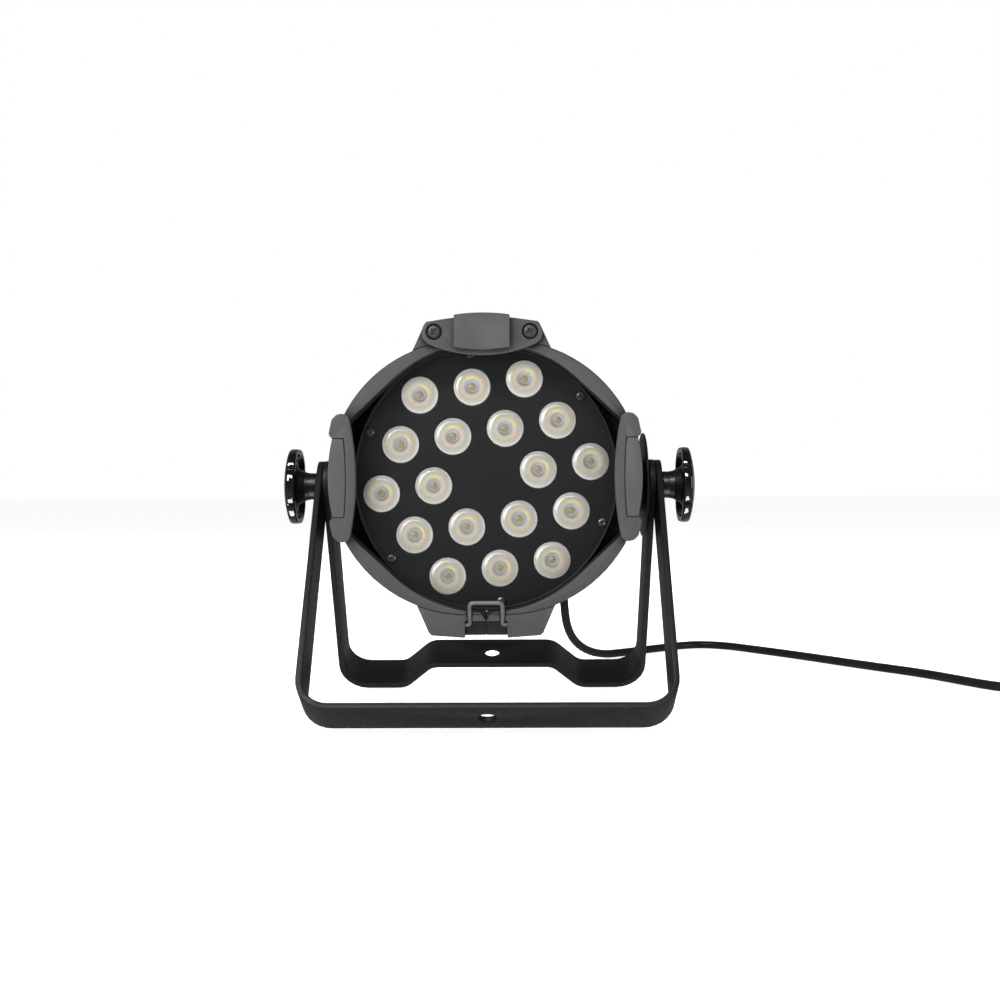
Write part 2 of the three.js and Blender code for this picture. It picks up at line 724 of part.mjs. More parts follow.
function coverPlate() {
  const plate = circleShape(PLATE_RADIUS, 0, 0, 72);
  for (const { x, y } of lensCentres()) {
    plate.holes.push(new THREE.Path(circlePoints(LENS.holeRadius, 14, x, y)));
  }
  for (const { x, y } of screwCentres()) {
    plate.holes.push(new THREE.Path(circlePoints(PLATE_SCREW.shankRadius + GAP, 8, x, y)));
  }
  return frontPrism(plate, DEPTH.plateFront, DEPTH.plateBack);
}

// A collimating lens: a cone behind the plate, a rim that stands through it, and a well over the chip.
function lens(x, z) {
  return turnedAboutY([
    [0, DEPTH.lensFront + 2.6],
    [4.2, DEPTH.lensFront + 2.6],
    [LENS.wellRadius, DEPTH.lensFront],
    [LENS.radius, DEPTH.lensFront],
    [LENS.radius, DEPTH.plateBack + 0.6],
    [4.5, DEPTH.lensBack],
    [0, DEPTH.lensBack],
  ], x, z, 14);
}

addPart(head, 'cover_plate', coverPlate(), plateBlack);
lensCentres().forEach(({ x, y }, i) => {
  addPart(head, `lens_${i + 1}`, lens(x, y), frostedLens);
});
screwCentres().forEach(({ x, y }, i) => {
  addPart(head, `plate_screw_${i + 1}`, screw(x, y, DEPTH.plateFront - GAP, PLATE_SCREW), steel);
});
const ledBoard = frontPrism(circleShape(BOARD.radius, 0, 0, 40), DEPTH.boardFront, DEPTH.boardBack);
addPart(head, 'led_board', ledBoard, boardWhite);

// ---------------------------------------------------------------- heat sink
function finShape() {
  const points = [];
  const step = (2 * Math.PI) / HEAT_SINK.fins;
  const outer = HEAT_SINK.frontRadius + 2;
  for (let i = 0; i < HEAT_SINK.fins; i += 1) {
    for (const [radius, side] of [[HEAT_SINK.core, -1], [outer, -1], [outer, 1], [HEAT_SINK.core, 1]]) {
      const angle = (i + 0.5) * step + (side * HEAT_SINK.finThickness) / 2 / radius;
      points.push(new Vector2(radius * Math.cos(angle), radius * Math.sin(angle)));
    }
  }
  return new THREE.Shape(points);
}

function flangeShape() {
  const radius = RING.backRadius - 0.5;
  const half = Math.acos(RING.centreOffset / radius);
  const points = [];
  for (const turn of [0, Math.PI]) {
    const centre = turn === 0 ? RING.centreOffset : -RING.centreOffset;
    for (let i = 0; i <= 24; i += 1) {
      const angle = turn - (Math.PI - half) + (2 * (Math.PI - half) * i) / 24;
      points.push(new Vector2(centre + radius * Math.cos(angle), radius * Math.sin(angle)));
    }
  }
  return new THREE.Shape(points);
}

// One casting: a flange behind the ring, a spigot inside it, tapering fins, and a bore for the electronics.
function heatSink() {
  const taper = turnedAboutY([
    [0, DEPTH.flangeBack - 1],
    [HEAT_SINK.frontRadius, DEPTH.flangeBack - 1],
    [HEAT_SINK.frontRadius - 2, 0],
    [HEAT_SINK.backRadius, DEPTH.finsBack],
    [0, DEPTH.finsBack],
  ], 0, 0, 36);
  const fins = frontPrism(finShape(), DEPTH.flangeBack - 1, DEPTH.finsBack).intersect(taper);
  const flange = frontPrism(flangeShape(), DEPTH.flangeFront, DEPTH.flangeBack);
  const spigotOutline = circleShape(HEAT_SINK.spigotRadius, 0, 0, 60);
  const spigot = frontPrism(spigotOutline, DEPTH.spigotFront, DEPTH.flangeBack);
  let casting = fins.add(flange).add(spigot);
  for (const { x, y } of screwCentres()) {
    const postOutline = circleShape(HEAT_SINK.postRadius, x, y, 12);
    const post = frontPrism(postOutline, DEPTH.plateBack + GAP, DEPTH.flangeFront);
    const hole = frontPrism(circleShape(PLATE_SCREW.shankRadius + GAP, x, y, 8), -FAR, DEPTH.spigotFront);
    casting = casting.add(post).subtract(hole);
  }
  for (const side of [-1, 1]) {
    const boss = turnedAboutPivot([
      [0, 54],
      [HEAT_SINK.sideBossRadius, 54],
      [HEAT_SINK.sideBossRadius, HUB.inner - GAP],
      [0, HUB.inner - GAP],
    ], side, 28);
    casting = casting.add(toSolid(toGeometry(boss).translate(-HEAD_X, 0, -HEAD_HEIGHT)));
  }
  const bore = frontPrism(circleShape(HEAT_SINK.cavity, 0, 0, 36), -12, FAR);
  casting = casting.subtract(bore);
  for (const side of [-1, 1]) {
    const ends = [side * 34, side * 47].sort((a, b) => a - b);
    const ledge = block(ends, [-14, DEPTH.finsBack - 6], [HEAT_SINK.ledgeTop - 7.6, HEAT_SINK.ledgeTop]);
    casting = casting.add(ledge);
  }
  return casting;
}
addPart(head, 'heat_sink', heatSink(), castBlack);

// The power and driver board lies on two ledges in the bore.
function driverBoard() {
  const top = BOARD.driverTop;
  const board = block([-39, 39], [-9, 37], [top - 1.6, top]);
  const transformer = block([-30, -6], [0, 22], [top - 0.5, top + 19]);
  const choke = block([0, 14], [6, 20], [top - 0.5, top + 12]);
  const capacitors = [20, 31].map((x) => straightBar(
    new Vector3(x, 12, top - 0.5),
    new Vector3(x, 12, top + 22),
    4.6,
    16,
  ));
  return [transformer, choke, ...capacitors].reduce((all, piece) => all.add(piece), board);
}
addPart(head, 'driver_board', driverBoard(), boardGreen);

// ---------------------------------------------------------------- rear cover and what is on it
const WALL_BACK = DEPTH.coverBack;
const WALL_FRONT = DEPTH.coverBack - COVER.wall;

function rearCover() {
  const { radius, wall } = COVER;
  const shell = turnedAboutY([
    [radius - wall, DEPTH.coverFront],
    [radius, DEPTH.coverFront],
    [radius, WALL_BACK - 5],
    [radius - 1.4, WALL_BACK - 1.6],
    [radius - 4.6, WALL_BACK],
    [0, WALL_BACK],
    [0, WALL_FRONT],
    [radius - wall, WALL_FRONT],
    [radius - wall, DEPTH.coverFront],
  ], 0, HEAD_HEIGHT, 44);
  const { display, button, dataIn, dataOut, socket, fuse, cord } = PANEL;
  const roundHoles = [
    [dataIn, socket.holeRadius],
    [dataOut, socket.holeRadius],
    [fuse, fuse.holeRadius],
    [cord, cord.holeRadius],
  ];
  const cutters = roundHoles.map(([place, size]) => circleShape(size, place.x, place.z, 20));
  for (const x of buttonPlaces()) cutters.push(circleShape(button.radius + GAP, x, button.z, 16));
  let cover = shell;
  for (const cutter of cutters) cover = cover.subtract(frontPrism(cutter, WALL_FRONT - 5, FAR));
  const pocket = rectangle(
    display.x - display.width / 2 - GAP,
    display.x + display.width / 2 + GAP,
    display.z - display.height / 2 - GAP,
    display.z + display.height / 2 + GAP,
  );
  return cover.subtract(frontPrism(pocket, WALL_BACK - 1.5, FAR));
}

function buttonPlaces() {
  const { count, spacing } = PANEL.button;
  return Array.from({ length: count }, (_, i) => (i - (count - 1) / 2) * spacing);
}

function displayWindow() {
  const { x, z, width, height } = PANEL.display;
  const pane = rectangle(x - width / 2, x + width / 2, z - height / 2, z + height / 2);
  return frontPrism(pane, WALL_BACK - 1.2, WALL_BACK + 0.4);
}

function button(x) {
  const { z, radius, flangeRadius } = PANEL.button;
  return turnedAboutY([
    [0, WALL_FRONT - 1.9],
    [flangeRadius, WALL_FRONT - 1.9],
    [flangeRadius, WALL_FRONT - GAP],
    [radius, WALL_FRONT - GAP],
    [radius, WALL_BACK + 1.8],
    [radius - 0.6, WALL_BACK + 2.2],
    [0, WALL_BACK + 2.2],
  ], x, z, 12);
}

// A round data socket on a square flange. A male one is a cup, and a female one has a solid face.
function dataSocket({ x, z }, male) {
  const { halfWidth, halfHeight, bodyRadius, cupRadius, cupDepth } = PANEL.socket;
  const flange = rectangle(x - halfWidth, x + halfWidth, z - halfHeight, z + halfHeight);
  const plate = frontPrism(flange, WALL_BACK + GAP, WALL_BACK + 2.3);
  const body = frontPrism(circleShape(bodyRadius, x, z, 24), WALL_BACK - 14, WALL_BACK + 4);
  const socket = plate.add(body);
  if (male) return socket.subtract(frontPrism(circleShape(cupRadius, x, z, 24), WALL_BACK - cupDepth, FAR));
  const groove = new THREE.Shape(circlePoints(cupRadius, 20, x, z));
  groove.holes.push(new THREE.Path(circlePoints(cupRadius - 1, 20, x, z)));
  return socket.subtract(frontPrism(groove, WALL_BACK + 1, FAR));
}

function fuseHolder() {
  const { x, z, radius, bodyRadius } = PANEL.fuse;
  return turnedAboutY([
    [0, WALL_BACK - 12],
    [bodyRadius, WALL_BACK - 12],
    [bodyRadius, WALL_BACK + GAP],
    [radius, WALL_BACK + GAP],
    [radius, WALL_BACK + 3.4],
    [radius - 1, WALL_BACK + 4.4],
    [0, WALL_BACK + 4.4],
  ], x, z, 24);
}

// A bent steel loop that a safety cable clips to.
function safetyEye() {
  const { x, z, depth } = PANEL.eye;
  const foot = WALL_BACK + GAP;
  const outline = new THREE.Shape([
    new Vector2(x - 15, foot),
    new Vector2(x + 15, foot),
    new Vector2(x + 15, foot + 2.4),
    new Vector2(x + 9.4, foot + 2.4),
    new Vector2(x + 9.4, foot + 10),
    new Vector2(x + 6.4, foot + 13),
    new Vector2(x - 6.4, foot + 13),
    new Vector2(x - 9.4, foot + 10),
    new Vector2(x - 9.4, foot + 2.4),
    new Vector2(x - 15, foot + 2.4),
  ]);
  outline.holes.push(new THREE.Path([
    new Vector2(x - 7, foot + 2),
    new Vector2(x + 7, foot + 2),
    new Vector2(x + 7, foot + 9),
    new Vector2(x + 5.4, foot + 10.6),
    new Vector2(x - 5.4, foot + 10.6),
    new Vector2(x - 7, foot + 9),
  ]));
  const geometry = new THREE.ExtrudeGeometry(outline, { depth, bevelEnabled: false });
  return toSolid(geometry.translate(0, 0, z - depth / 2));
}

// The nut and the tapered rubber sleeve that the mains cord leaves through.
function cordGland() {
  const { x, z, threadRadius } = PANEL.cord;
  return turnedAboutY([
    [0, WALL_FRONT - 3],
    [threadRadius, WALL_FRONT - 3],
    [threadRadius, WALL_BACK + GAP],
    [9.5, WALL_BACK + GAP],
    [9.5, WALL_BACK + 5],
    [7, WALL_BACK + 7],
    [6.4, WALL_BACK + 12],
    [4.2, DEPTH.cordExit],
    [0, DEPTH.cordExit],
  ], x, z, 18);
}

addPart(backPanel, 'rear_cover', rearCover(), castBlack);
addPart(backPanel, 'display_window', displayWindow(), displayGlass);
buttonPlaces().forEach((x, i) => {
  addPart(backPanel, `button_${i + 1}`, button(x), buttonGrey);
});
addPart(backPanel, 'data_in_socket', dataSocket(PANEL.dataIn, true), blackPaint);
addPart(backPanel, 'data_out_socket', dataSocket(PANEL.dataOut, false), blackPaint);
addPart(backPanel, 'fuse_holder', fuseHolder(), blackPaint);
addPart(backPanel, 'safety_eye', safetyEye(), steel);
addPart(backPanel, 'cord_gland', cordGland(), cordBlack);

// ---------------------------------------------------------------- mains cord
// The route from the strain relief: straight back, down to the floor behind the rear yoke, out to the
// right along the floor, and forward to the coil.
const exitX = PANEL.cord.x + HEAD_X;
const exitZ = PANEL.cord.z;
const arrive = COIL.arriveAngle * DEGREE;
const arriveOut = new Vector3(Math.cos(arrive), Math.sin(arrive), 0);
const arriveAlong = new Vector3(-arriveOut.y, arriveOut.x, 0);
const coilCentre = new Vector3(COIL.x, COIL.y, 0);
const touch = coilCentre.clone().addScaledVector(arriveOut, COIL.outerTurn).setZ(CORD_LIE);
const runEnd = touch.clone().addScaledVector(arriveAlong, -COIL_LUG);

const cordRoute = [
  [exitX, DEPTH.cordExit + 0.4, exitZ],
  [exitX, 104, exitZ],
  [44.4, 118, -3],
  [45.6, 131, -11],
  [47.6, 141, -24],
  [50.2, 147, -41],
  [52.6, 149.5, -60],
  [54.2, 150.5, -79],
  [55, 153, -95],
  [57, 160, -109],
  [61.6, 171, -121],
  [69.4, 184, -130.5],
  [79.5, 198, -137],
  [91, 210, CORD_LIE + 0.6],
  [104, 221, CORD_LIE],
  [122, 235, CORD_LIE],
  [141, 250, CORD_LIE],
  [160, 264.5, CORD_LIE],
  [180, 271, CORD_LIE],
  [200, 261.5, CORD_LIE],
  [221, 237, CORD_LIE],
  [250, 199, CORD_LIE],
  [284, 150, CORD_LIE],
  [318, 103, CORD_LIE],
].map(([x, y, z]) => new Vector3(x, y, z));
cordRoute.push(runEnd.clone().addScaledVector(arriveAlong, -16));
cordRoute.push(runEnd.clone().addScaledVector(arriveAlong, -GAP));
addPart(fixture, 'cord_run', bar(new THREE.CatmullRomCurve3(cordRoute), CORD_RADIUS, 8, 56), cordBlack);

// The outer shape of the coil, with the straight ends by which the cord joins and leaves it.
const leave = COIL.leaveAngle * DEGREE;
const leaveOut = new Vector3(Math.cos(leave), Math.sin(leave), 0);
const leaveAlong = new Vector3(-leaveOut.y, leaveOut.x, 0);
const upperLie = CORD_LIE + 2 * CORD_RADIUS * (COIL.layers - 1);
const release = coilCentre.clone().addScaledVector(leaveOut, COIL.outerTurn).setZ(upperLie);
const plugLie = -PIVOT_HEIGHT + PLUG.radius + FLOOR_CLEARANCE;
const tailEnd = release.clone().addScaledVector(leaveAlong, PLUG_LUG).setZ(plugLie);

function cordCoil() {
  const low = CORD_LIE - CORD_RADIUS;
  const high = upperLie + CORD_RADIUS;
  const points = [
    new Vector2(COIL.innerTurn - CORD_RADIUS, low),
    new Vector2(COIL.outerTurn + CORD_RADIUS, low),
    new Vector2(COIL.outerTurn + CORD_RADIUS, high),
    new Vector2(COIL.innerTurn - CORD_RADIUS, high),
    new Vector2(COIL.innerTurn - CORD_RADIUS, low),
  ];
  const turns = new THREE.LatheGeometry(points, 32).rotateX(Math.PI / 2).translate(COIL.x, COIL.y, 0);
  const inward = straightBar(runEnd, touch, CORD_RADIUS, 8);
  const outward = straightBar(release, tailEnd, CORD_RADIUS, 8);
  return toSolid(turns).add(inward).add(outward);
}
addPart(fixture, 'cord_coil', cordCoil(), cordBlack);

// A round two-pin mains plug that lies on its side. The cord's square end stays clear of its end.
const PLUG_GAP = GAP + (CORD_RADIUS * (plugLie - upperLie)) / PLUG_LUG;

function plug() {
  const body = new THREE.LatheGeometry([
    new Vector2(0, 0),
    new Vector2(4.2, 0),
    new Vector2(6.4, 20),
    new Vector2(7.4, PLUG.sleeve),
    new Vector2(12, PLUG.sleeve + 3),
    new Vector2(17, PLUG.sleeve + 12),
    new Vector2(PLUG.radius, PLUG.sleeve + 17),
    new Vector2(PLUG.radius, PLUG.length),
    new Vector2(0, PLUG.length),
  ], 20);
  const pins = [-0.5, 0.5].map((place) => new THREE.LatheGeometry([
    new Vector2(0, PLUG.length - 2),
    new Vector2(PLUG.pinRadius, PLUG.length - 2),
    new Vector2(PLUG.pinRadius, PLUG.length + PLUG.pinLength - 1),
    new Vector2(PLUG.pinRadius - 1, PLUG.length + PLUG.pinLength),
    new Vector2(0, PLUG.length + PLUG.pinLength),
  ], 10).translate(place * PLUG.pinSpacing, 0, 0));
  return pins.reduce((all, pin) => all.add(toSolid(pin)), toSolid(body));
}
const plugMesh = addPart(fixture, 'plug', plug(), cordBlack);
plugMesh.position.copy(tailEnd).addScaledVector(leaveAlong, PLUG_GAP);

export default fixture;
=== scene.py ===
"""Looks of an LED par can stage light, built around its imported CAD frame.

Metres, +Z up, and the light shines towards -Y. Lengths inside this file are in millimetres where a
name ends in _MM or a call goes through at(), which counts from the middle of the pivot axis.
"""
import json
import math
from types import SimpleNamespace as Sizes

import bmesh
import bpy
import numpy as np
from mathutils import Matrix, Vector

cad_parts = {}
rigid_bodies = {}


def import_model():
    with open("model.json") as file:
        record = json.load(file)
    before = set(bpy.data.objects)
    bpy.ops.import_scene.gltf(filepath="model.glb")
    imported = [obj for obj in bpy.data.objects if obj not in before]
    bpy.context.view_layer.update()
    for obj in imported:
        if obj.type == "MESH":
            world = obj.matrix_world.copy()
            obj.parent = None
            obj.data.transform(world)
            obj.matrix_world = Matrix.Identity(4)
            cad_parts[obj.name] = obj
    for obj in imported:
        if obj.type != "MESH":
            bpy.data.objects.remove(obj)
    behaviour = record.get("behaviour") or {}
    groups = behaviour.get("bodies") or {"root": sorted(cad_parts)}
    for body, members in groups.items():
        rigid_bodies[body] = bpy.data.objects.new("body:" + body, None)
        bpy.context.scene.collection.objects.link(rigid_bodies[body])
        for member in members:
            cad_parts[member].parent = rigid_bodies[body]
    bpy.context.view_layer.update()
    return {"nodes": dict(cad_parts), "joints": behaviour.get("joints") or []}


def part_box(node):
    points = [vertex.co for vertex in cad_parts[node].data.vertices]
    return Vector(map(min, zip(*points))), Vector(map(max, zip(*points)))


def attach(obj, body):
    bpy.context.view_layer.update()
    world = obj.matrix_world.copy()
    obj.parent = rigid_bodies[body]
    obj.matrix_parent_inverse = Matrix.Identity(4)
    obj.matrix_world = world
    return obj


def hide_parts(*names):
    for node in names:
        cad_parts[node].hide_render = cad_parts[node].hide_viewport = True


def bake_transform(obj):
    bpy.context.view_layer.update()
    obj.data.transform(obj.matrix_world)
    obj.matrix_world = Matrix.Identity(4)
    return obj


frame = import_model()

# ------------ places, worked out from the frame
MM = 0.001
PIVOT = Vector(next(joint["pos_m"] for joint in frame["joints"] if joint["name"] == "head_tilt"))
plate_low, plate_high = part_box("cover_plate")
HEAD = Vector(((plate_low.x + plate_high.x) / 2, PIVOT.y, (plate_low.z + plate_high.z) / 2))
HEAD_X_MM, HEAD_RISE_MM = (HEAD.x - PIVOT.x) / MM, (HEAD.z - PIVOT.z) / MM
FLOOR_MM = -PIVOT.z / MM


def at(x, y, z):
    """A point given in millimetres from the middle of the pivot axis, in the row frame."""
    return PIVOT + Vector((x, y, z)) * MM


def add_object(name, data):
    made = bpy.data.objects.new(name, data)
    bpy.context.scene.collection.objects.link(made)
    return made


# ------------ camera
# The eye's distance, turn and offset are those of the picture that the light was built from.
EYE_DISTANCE = 0.8153
EYE_SIDE, EYE_RISE = -0.00696, 0.00956
EYE_YAW, EYE_PITCH, EYE_ROLL = (math.radians(a) for a in (-0.72, 0.75, 0.3))
FOCAL_MM, SENSOR_MM = 44.53, 36
FARTHEST_SEEN = 50  # metres


def make_camera():
    yaw = Matrix.Rotation(EYE_YAW, 3, "Z")
    pitch = Matrix.Rotation(EYE_PITCH, 3, "X")
    roll = Matrix.Rotation(EYE_ROLL, 3, "Y").transposed()
    to_eye = roll @ pitch @ yaw
    back = to_eye.transposed()
    offset = Vector((EYE_SIDE, EYE_DISTANCE, EYE_RISE))
    data = bpy.data.cameras.new("camera")
    data.lens = FOCAL_MM
    data.sensor_width = SENSOR_MM
    data.clip_end = FARTHEST_SEEN
    camera = add_object("camera", data)
    axes = Matrix((back @ Vector((1, 0, 0)), back @ Vector((0, 0, 1)), -(back @ Vector((0, 1, 0)))))
    camera.matrix_world = Matrix.Translation(PIVOT - back @ offset) @ axes.transposed().to_4x4()
    bpy.context.scene.camera = camera


make_camera()

# ------------ mains cord
CORD_RADIUS_MM = 3.25
CORD_LIE_MM = FLOOR_MM + CORD_RADIUS_MM + 0.05
CORD_EXIT_MM = (44.0, 92.0, 0.0)
COIL_MM = Sizes(x=401.0, y=42.5, inner=29.25, outer=35.75)
COIL_ARRIVE, COIL_LEAVE = 223, 1440  # degrees round the coil's middle, counted on through its turns
COIL_INWARD, COIL_RISE, COIL_OUTWARD = 523, 773, 1023  # where the cord starts to change its track
TRACK_CHANGE = 110  # degrees that each change takes
LUG_MM = 25.0  # the straight stretch before the coil
LUG_APPROACH_MM = 16
PLUG_LUG_MM = 40.0  # the stretch from the coil to the plug
COIL_STEP = 9  # degrees
ROUTE_STEPS = 5  # between one point of the route and the next
CORD_SIDES = 20


def cord_route():
    """The stretch that isn't coiled: from the strain relief down to the floor and out to the coil."""
    x, y, z = CORD_EXIT_MM
    lie = CORD_LIE_MM
    return [Vector(p) for p in (
        (x, y + 0.4, z), (x, 104, z), (44.4, 118, -3), (45.6, 131, -11), (47.6, 141, -24),
        (50.2, 147, -41), (52.6, 149.5, -60), (54.2, 150.5, -79), (55, 153, -95), (57, 160, -109),
        (61.6, 171, -121), (69.4, 184, -130.5), (79.5, 198, -137), (91, 210, lie + 0.6),
        (104, 221, lie), (122, 235, lie), (141, 250, lie), (160, 264.5, lie), (180, 271, lie),
        (200, 261.5, lie), (221, 237, lie), (250, 199, lie), (284, 150, lie), (318, 103, lie),
    )]


def smooth_step(value):
    value = min(max(value, 0.0), 1.0)
    return value * value * (3 - 2 * value)


def coil_point(degrees):
    """A point on the coil's turns: outer low, inner low, inner high, outer high."""
    inward = smooth_step((degrees - COIL_INWARD) / TRACK_CHANGE)
    rise = smooth_step((degrees - COIL_RISE) / TRACK_CHANGE)
    outward = smooth_step((degrees - COIL_OUTWARD) / TRACK_CHANGE)
    radius = COIL_MM.outer + (COIL_MM.inner - COIL_MM.outer) * (inward - outward)
    angle = math.radians(degrees)
    height = CORD_LIE_MM + 2 * CORD_RADIUS_MM * rise
    x, y = COIL_MM.x + radius * math.cos(angle), COIL_MM.y + radius * math.sin(angle)
    return Vector((x, y, height))


def coil_tangent(degrees):
    angle = math.radians(degrees)
    return Vector((-math.sin(angle), math.cos(angle), 0))


def catmull(points, steps):
    """A centripetal Catmull-Rom curve through the points."""
    ends = [2 * points[0] - points[1], *points, 2 * points[-1] - points[-2]]
    line = []
    for i in range(1, len(ends) - 2):
        corners, knots = ends[i - 1:i + 3], [0.0]
        for one, two in zip(corners, corners[1:]):
            knots.append(knots[-1] + math.sqrt((two - one).length))
        for k in range(steps):
            t = knots[1] + (knots[2] - knots[1]) * k / steps

            def blended(one, two, start, end):
                return one.lerp(two, (t - knots[start]) / (knots[end] - knots[start]))

            a = [blended(corners[j], corners[j + 1], j, j + 1) for j in range(3)]
            b = [blended(a[j], a[j + 1], j, j + 2) for j in range(2)]
            line.append(blended(*b, 1, 2))
    line.append(points[-1].copy())
    return line


def cord_line():
    """The whole cord's centreline in the row frame."""
    touch = coil_point(COIL_ARRIVE)
    along = coil_tangent(COIL_ARRIVE)
    run_end = touch - along * LUG_MM
    route = cord_route() + [run_end - along * LUG_APPROACH_MM, run_end]
    line = catmull(route, ROUTE_STEPS)
    line += [run_end + (touch - run_end) * share for share in (0.25, 0.5, 0.75)]
    line += [coil_point(d) for d in np.arange(COIL_ARRIVE, COIL_LEAVE, COIL_STEP)]
    release = coil_point(COIL_LEAVE)
    plug_low, plug_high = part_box("plug")
    climb = ((plug_low.z + plug_high.z) / 2 - PIVOT.z) / MM - release.z
    for share in (0, 0.12, 0.25, 0.38, 0.5, 0.62, 0.75, 0.88, 1.0):
        rise = Vector((0, 0, climb * smooth_step(share)))
        line.append(release + coil_tangent(COIL_LEAVE) * PLUG_LUG_MM * share + rise)
    return [at(*point) for point in line]


def bridge(mesh, rings):
    """Faces from each ring of vertices to the next. A ring may be a single vertex."""
    for one, two in zip(rings, rings[1:]):
        count = max(len(one), len(two))
        if count == 1:
            continue
        for k in range(count):
            corners = (one[k % len(one)], one[(k + 1) % len(one)], two[(k + 1) % len(two)], two[k % len(two)])
            mesh.faces.new(tuple(dict.fromkeys(corners)))


def tube_mesh(name, line, radius, sides):
    """A closed tube along a line. Its section turns with the line and never twists."""
    mesh = bmesh.new()
    count = len(line)
    normal = None
    rings = []
    for i, point in enumerate(line):
        ahead = (line[min(i + 1, count - 1)] - line[max(i - 1, 0)]).normalized()
        if normal is None:
            normal = ahead.orthogonal().normalized()
        normal = (normal - ahead * normal.dot(ahead)).normalized()
        across = ahead.cross(normal)
        ring = []
        for k in range(sides):
            angle = 2 * math.pi * k / sides
            out = normal * math.cos(angle) + across * math.sin(angle)
            ring.append(mesh.verts.new(point + out * radius))
        rings.append(ring)
    bridge(mesh, rings)
    mesh.faces.new(list(reversed(rings[0])))
    mesh.faces.new(rings[-1])
    bmesh.ops.recalc_face_normals(mesh, faces=mesh.faces)
    for face in mesh.faces:
        face.smooth = len(face.verts) == 4
    data = bpy.data.meshes.new(name)
    mesh.to_mesh(data)
    mesh.free()
    return add_object(name, data)


def make_cord():
    cord = tube_mesh("mains_cord", cord_line(), CORD_RADIUS_MM * MM, CORD_SIDES)
    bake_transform(cord)
    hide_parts("cord_run", "cord_coil")
    return cord


def declare_cord():
    cord_line()


cord = make_cord()

# ------------ mesh helpers
def shade(piece, smooth_angle=35):
    """Smooth shading, except at edges sharper than smooth_angle."""
    piece.data.shade_smooth()
    piece.data.set_sharp_from_angle(angle=math.radians(smooth_angle))


def link(name, mesh, smooth_angle=35, material=None):
    """A shaded object from a bmesh."""
    bmesh.ops.recalc_face_normals(mesh, faces=mesh.faces)
    data = bpy.data.meshes.new(name)
    mesh.to_mesh(data)
    mesh.free()
    if material:
        data.materials.append(material)
    piece = add_object(name, data)
    shade(piece, smooth_angle)
    return piece


def bake(piece, smooth_angle=35):
    """Replaces a piece's mesh by the one its modifiers make."""
    graph = bpy.context.evaluated_depsgraph_get()
    data = bpy.data.meshes.new_from_object(piece.evaluated_get(graph))
    piece.modifiers.clear()
    piece.data = data
    shade(piece, smooth_angle)
    return piece


def round_edges(piece, width, segments=2, angle=32):
    modifier = piece.modifiers.new("rounding", "BEVEL")
    modifier.width = width * MM
    modifier.segments = segments
    modifier.limit_method = "ANGLE"
    modifier.angle_limit = math.radians(angle)
    modifier.use_clamp_overlap = False
    modifier.miter_outer = "MITER_ARC"
    return bake(piece)


def cut(piece, cutter, operation="DIFFERENCE"):
    modifier = piece.modifiers.new("cut", "BOOLEAN")
    modifier.operation = operation
    modifier.solver = "EXACT"
    modifier.object = cutter
    bake(piece)
    bpy.data.objects.remove(cutter)
    return piece


def joined(name, pieces):
    """Several objects as one, which keeps each one's materials."""
    with bpy.context.temp_override(
        active_object=pieces[0], object=pieces[0], selected_objects=pieces, selected_editable_objects=pieces
    ):
        bpy.ops.object.join()
    pieces[0].name = name
    pieces[0].data.name = name
    return pieces[0]


def copy_of(name, node):
    """A CAD node's solid with its flat faces merged, as a new piece that can be worked on."""
    mesh = bmesh.new()
    mesh.from_mesh(frame["nodes"][node].data)
    bmesh.ops.remove_doubles(mesh, verts=mesh.verts, dist=4e-6)
    bmesh.ops.dissolve_limit(mesh, angle_limit=math.radians(0.6), verts=mesh.verts, edges=mesh.edges)
    return link(name, mesh)


def turned(name, profile, segments, centre=(0.0, 0.0), side=0, closed=False, smooth_angle=35, material=None):
    """A profile of (radius, depth) pairs turned about a line parallel to Y through centre (x, z), or about
    the pivot axis where side is 1 or -1. A closed profile joins its last point to its first."""
    mesh = bmesh.new()
    rings = []
    for radius, depth in profile:
        ring = []
        for k in range(segments if radius > 0 else 1):
            angle = 2 * math.pi * k / segments
            across, up = radius * math.cos(angle), radius * math.sin(angle)
            if side:
                ring.append(mesh.verts.new(at(side * depth, across, up)))
            else:
                ring.append(mesh.verts.new(at(centre[0] + across, depth, centre[1] + up)))
        rings.append(ring)
    if closed:
        rings.append(rings[0])
    bridge(mesh, rings)
    return link(name, mesh, smooth_angle, material)


def eased(points, radius, steps=4, closed=False):
    """A path with each corner rounded to radius, or to the most that fits."""
    points = [Vector(p) for p in points]
    count = len(points)
    result = []
    for i, corner in enumerate(points):
        if not closed and i in (0, count - 1):
            result.append(tuple(corner))
            continue
        back = points[i - 1] - corner
        ahead = points[(i + 1) % count] - corner
        half = back.angle(ahead) / 2
        if half > math.pi / 2 - 0.01:
            result.append(tuple(corner))
            continue
        reach = min(radius / math.tan(half), 0.48 * back.length, 0.48 * ahead.length)
        start = corner + back.normalized() * reach
        end = corner + ahead.normalized() * reach
        for k in range(steps + 1):
            t = k / steps
            result.append(tuple(start * (1 - t) ** 2 + corner * 2 * t * (1 - t) + end * t * t))
    return result


def plate(name, outline, front, back, smooth_angle=35):
    """An outline of (x, z) pairs, seen from the front, made solid from depth front to back."""
    mesh = bmesh.new()
    near = [mesh.verts.new(at(x, front, z)) for x, z in outline]
    far = [mesh.verts.new(at(x, back, z)) for x, z in outline]
    mesh.faces.new(near)
    mesh.faces.new(far)
    for i in range(len(outline)):
        j = (i + 1) % len(outline)
        mesh.faces.new((near[i], near[j], far[j], far[i]))
    return link(name, mesh, smooth_angle)


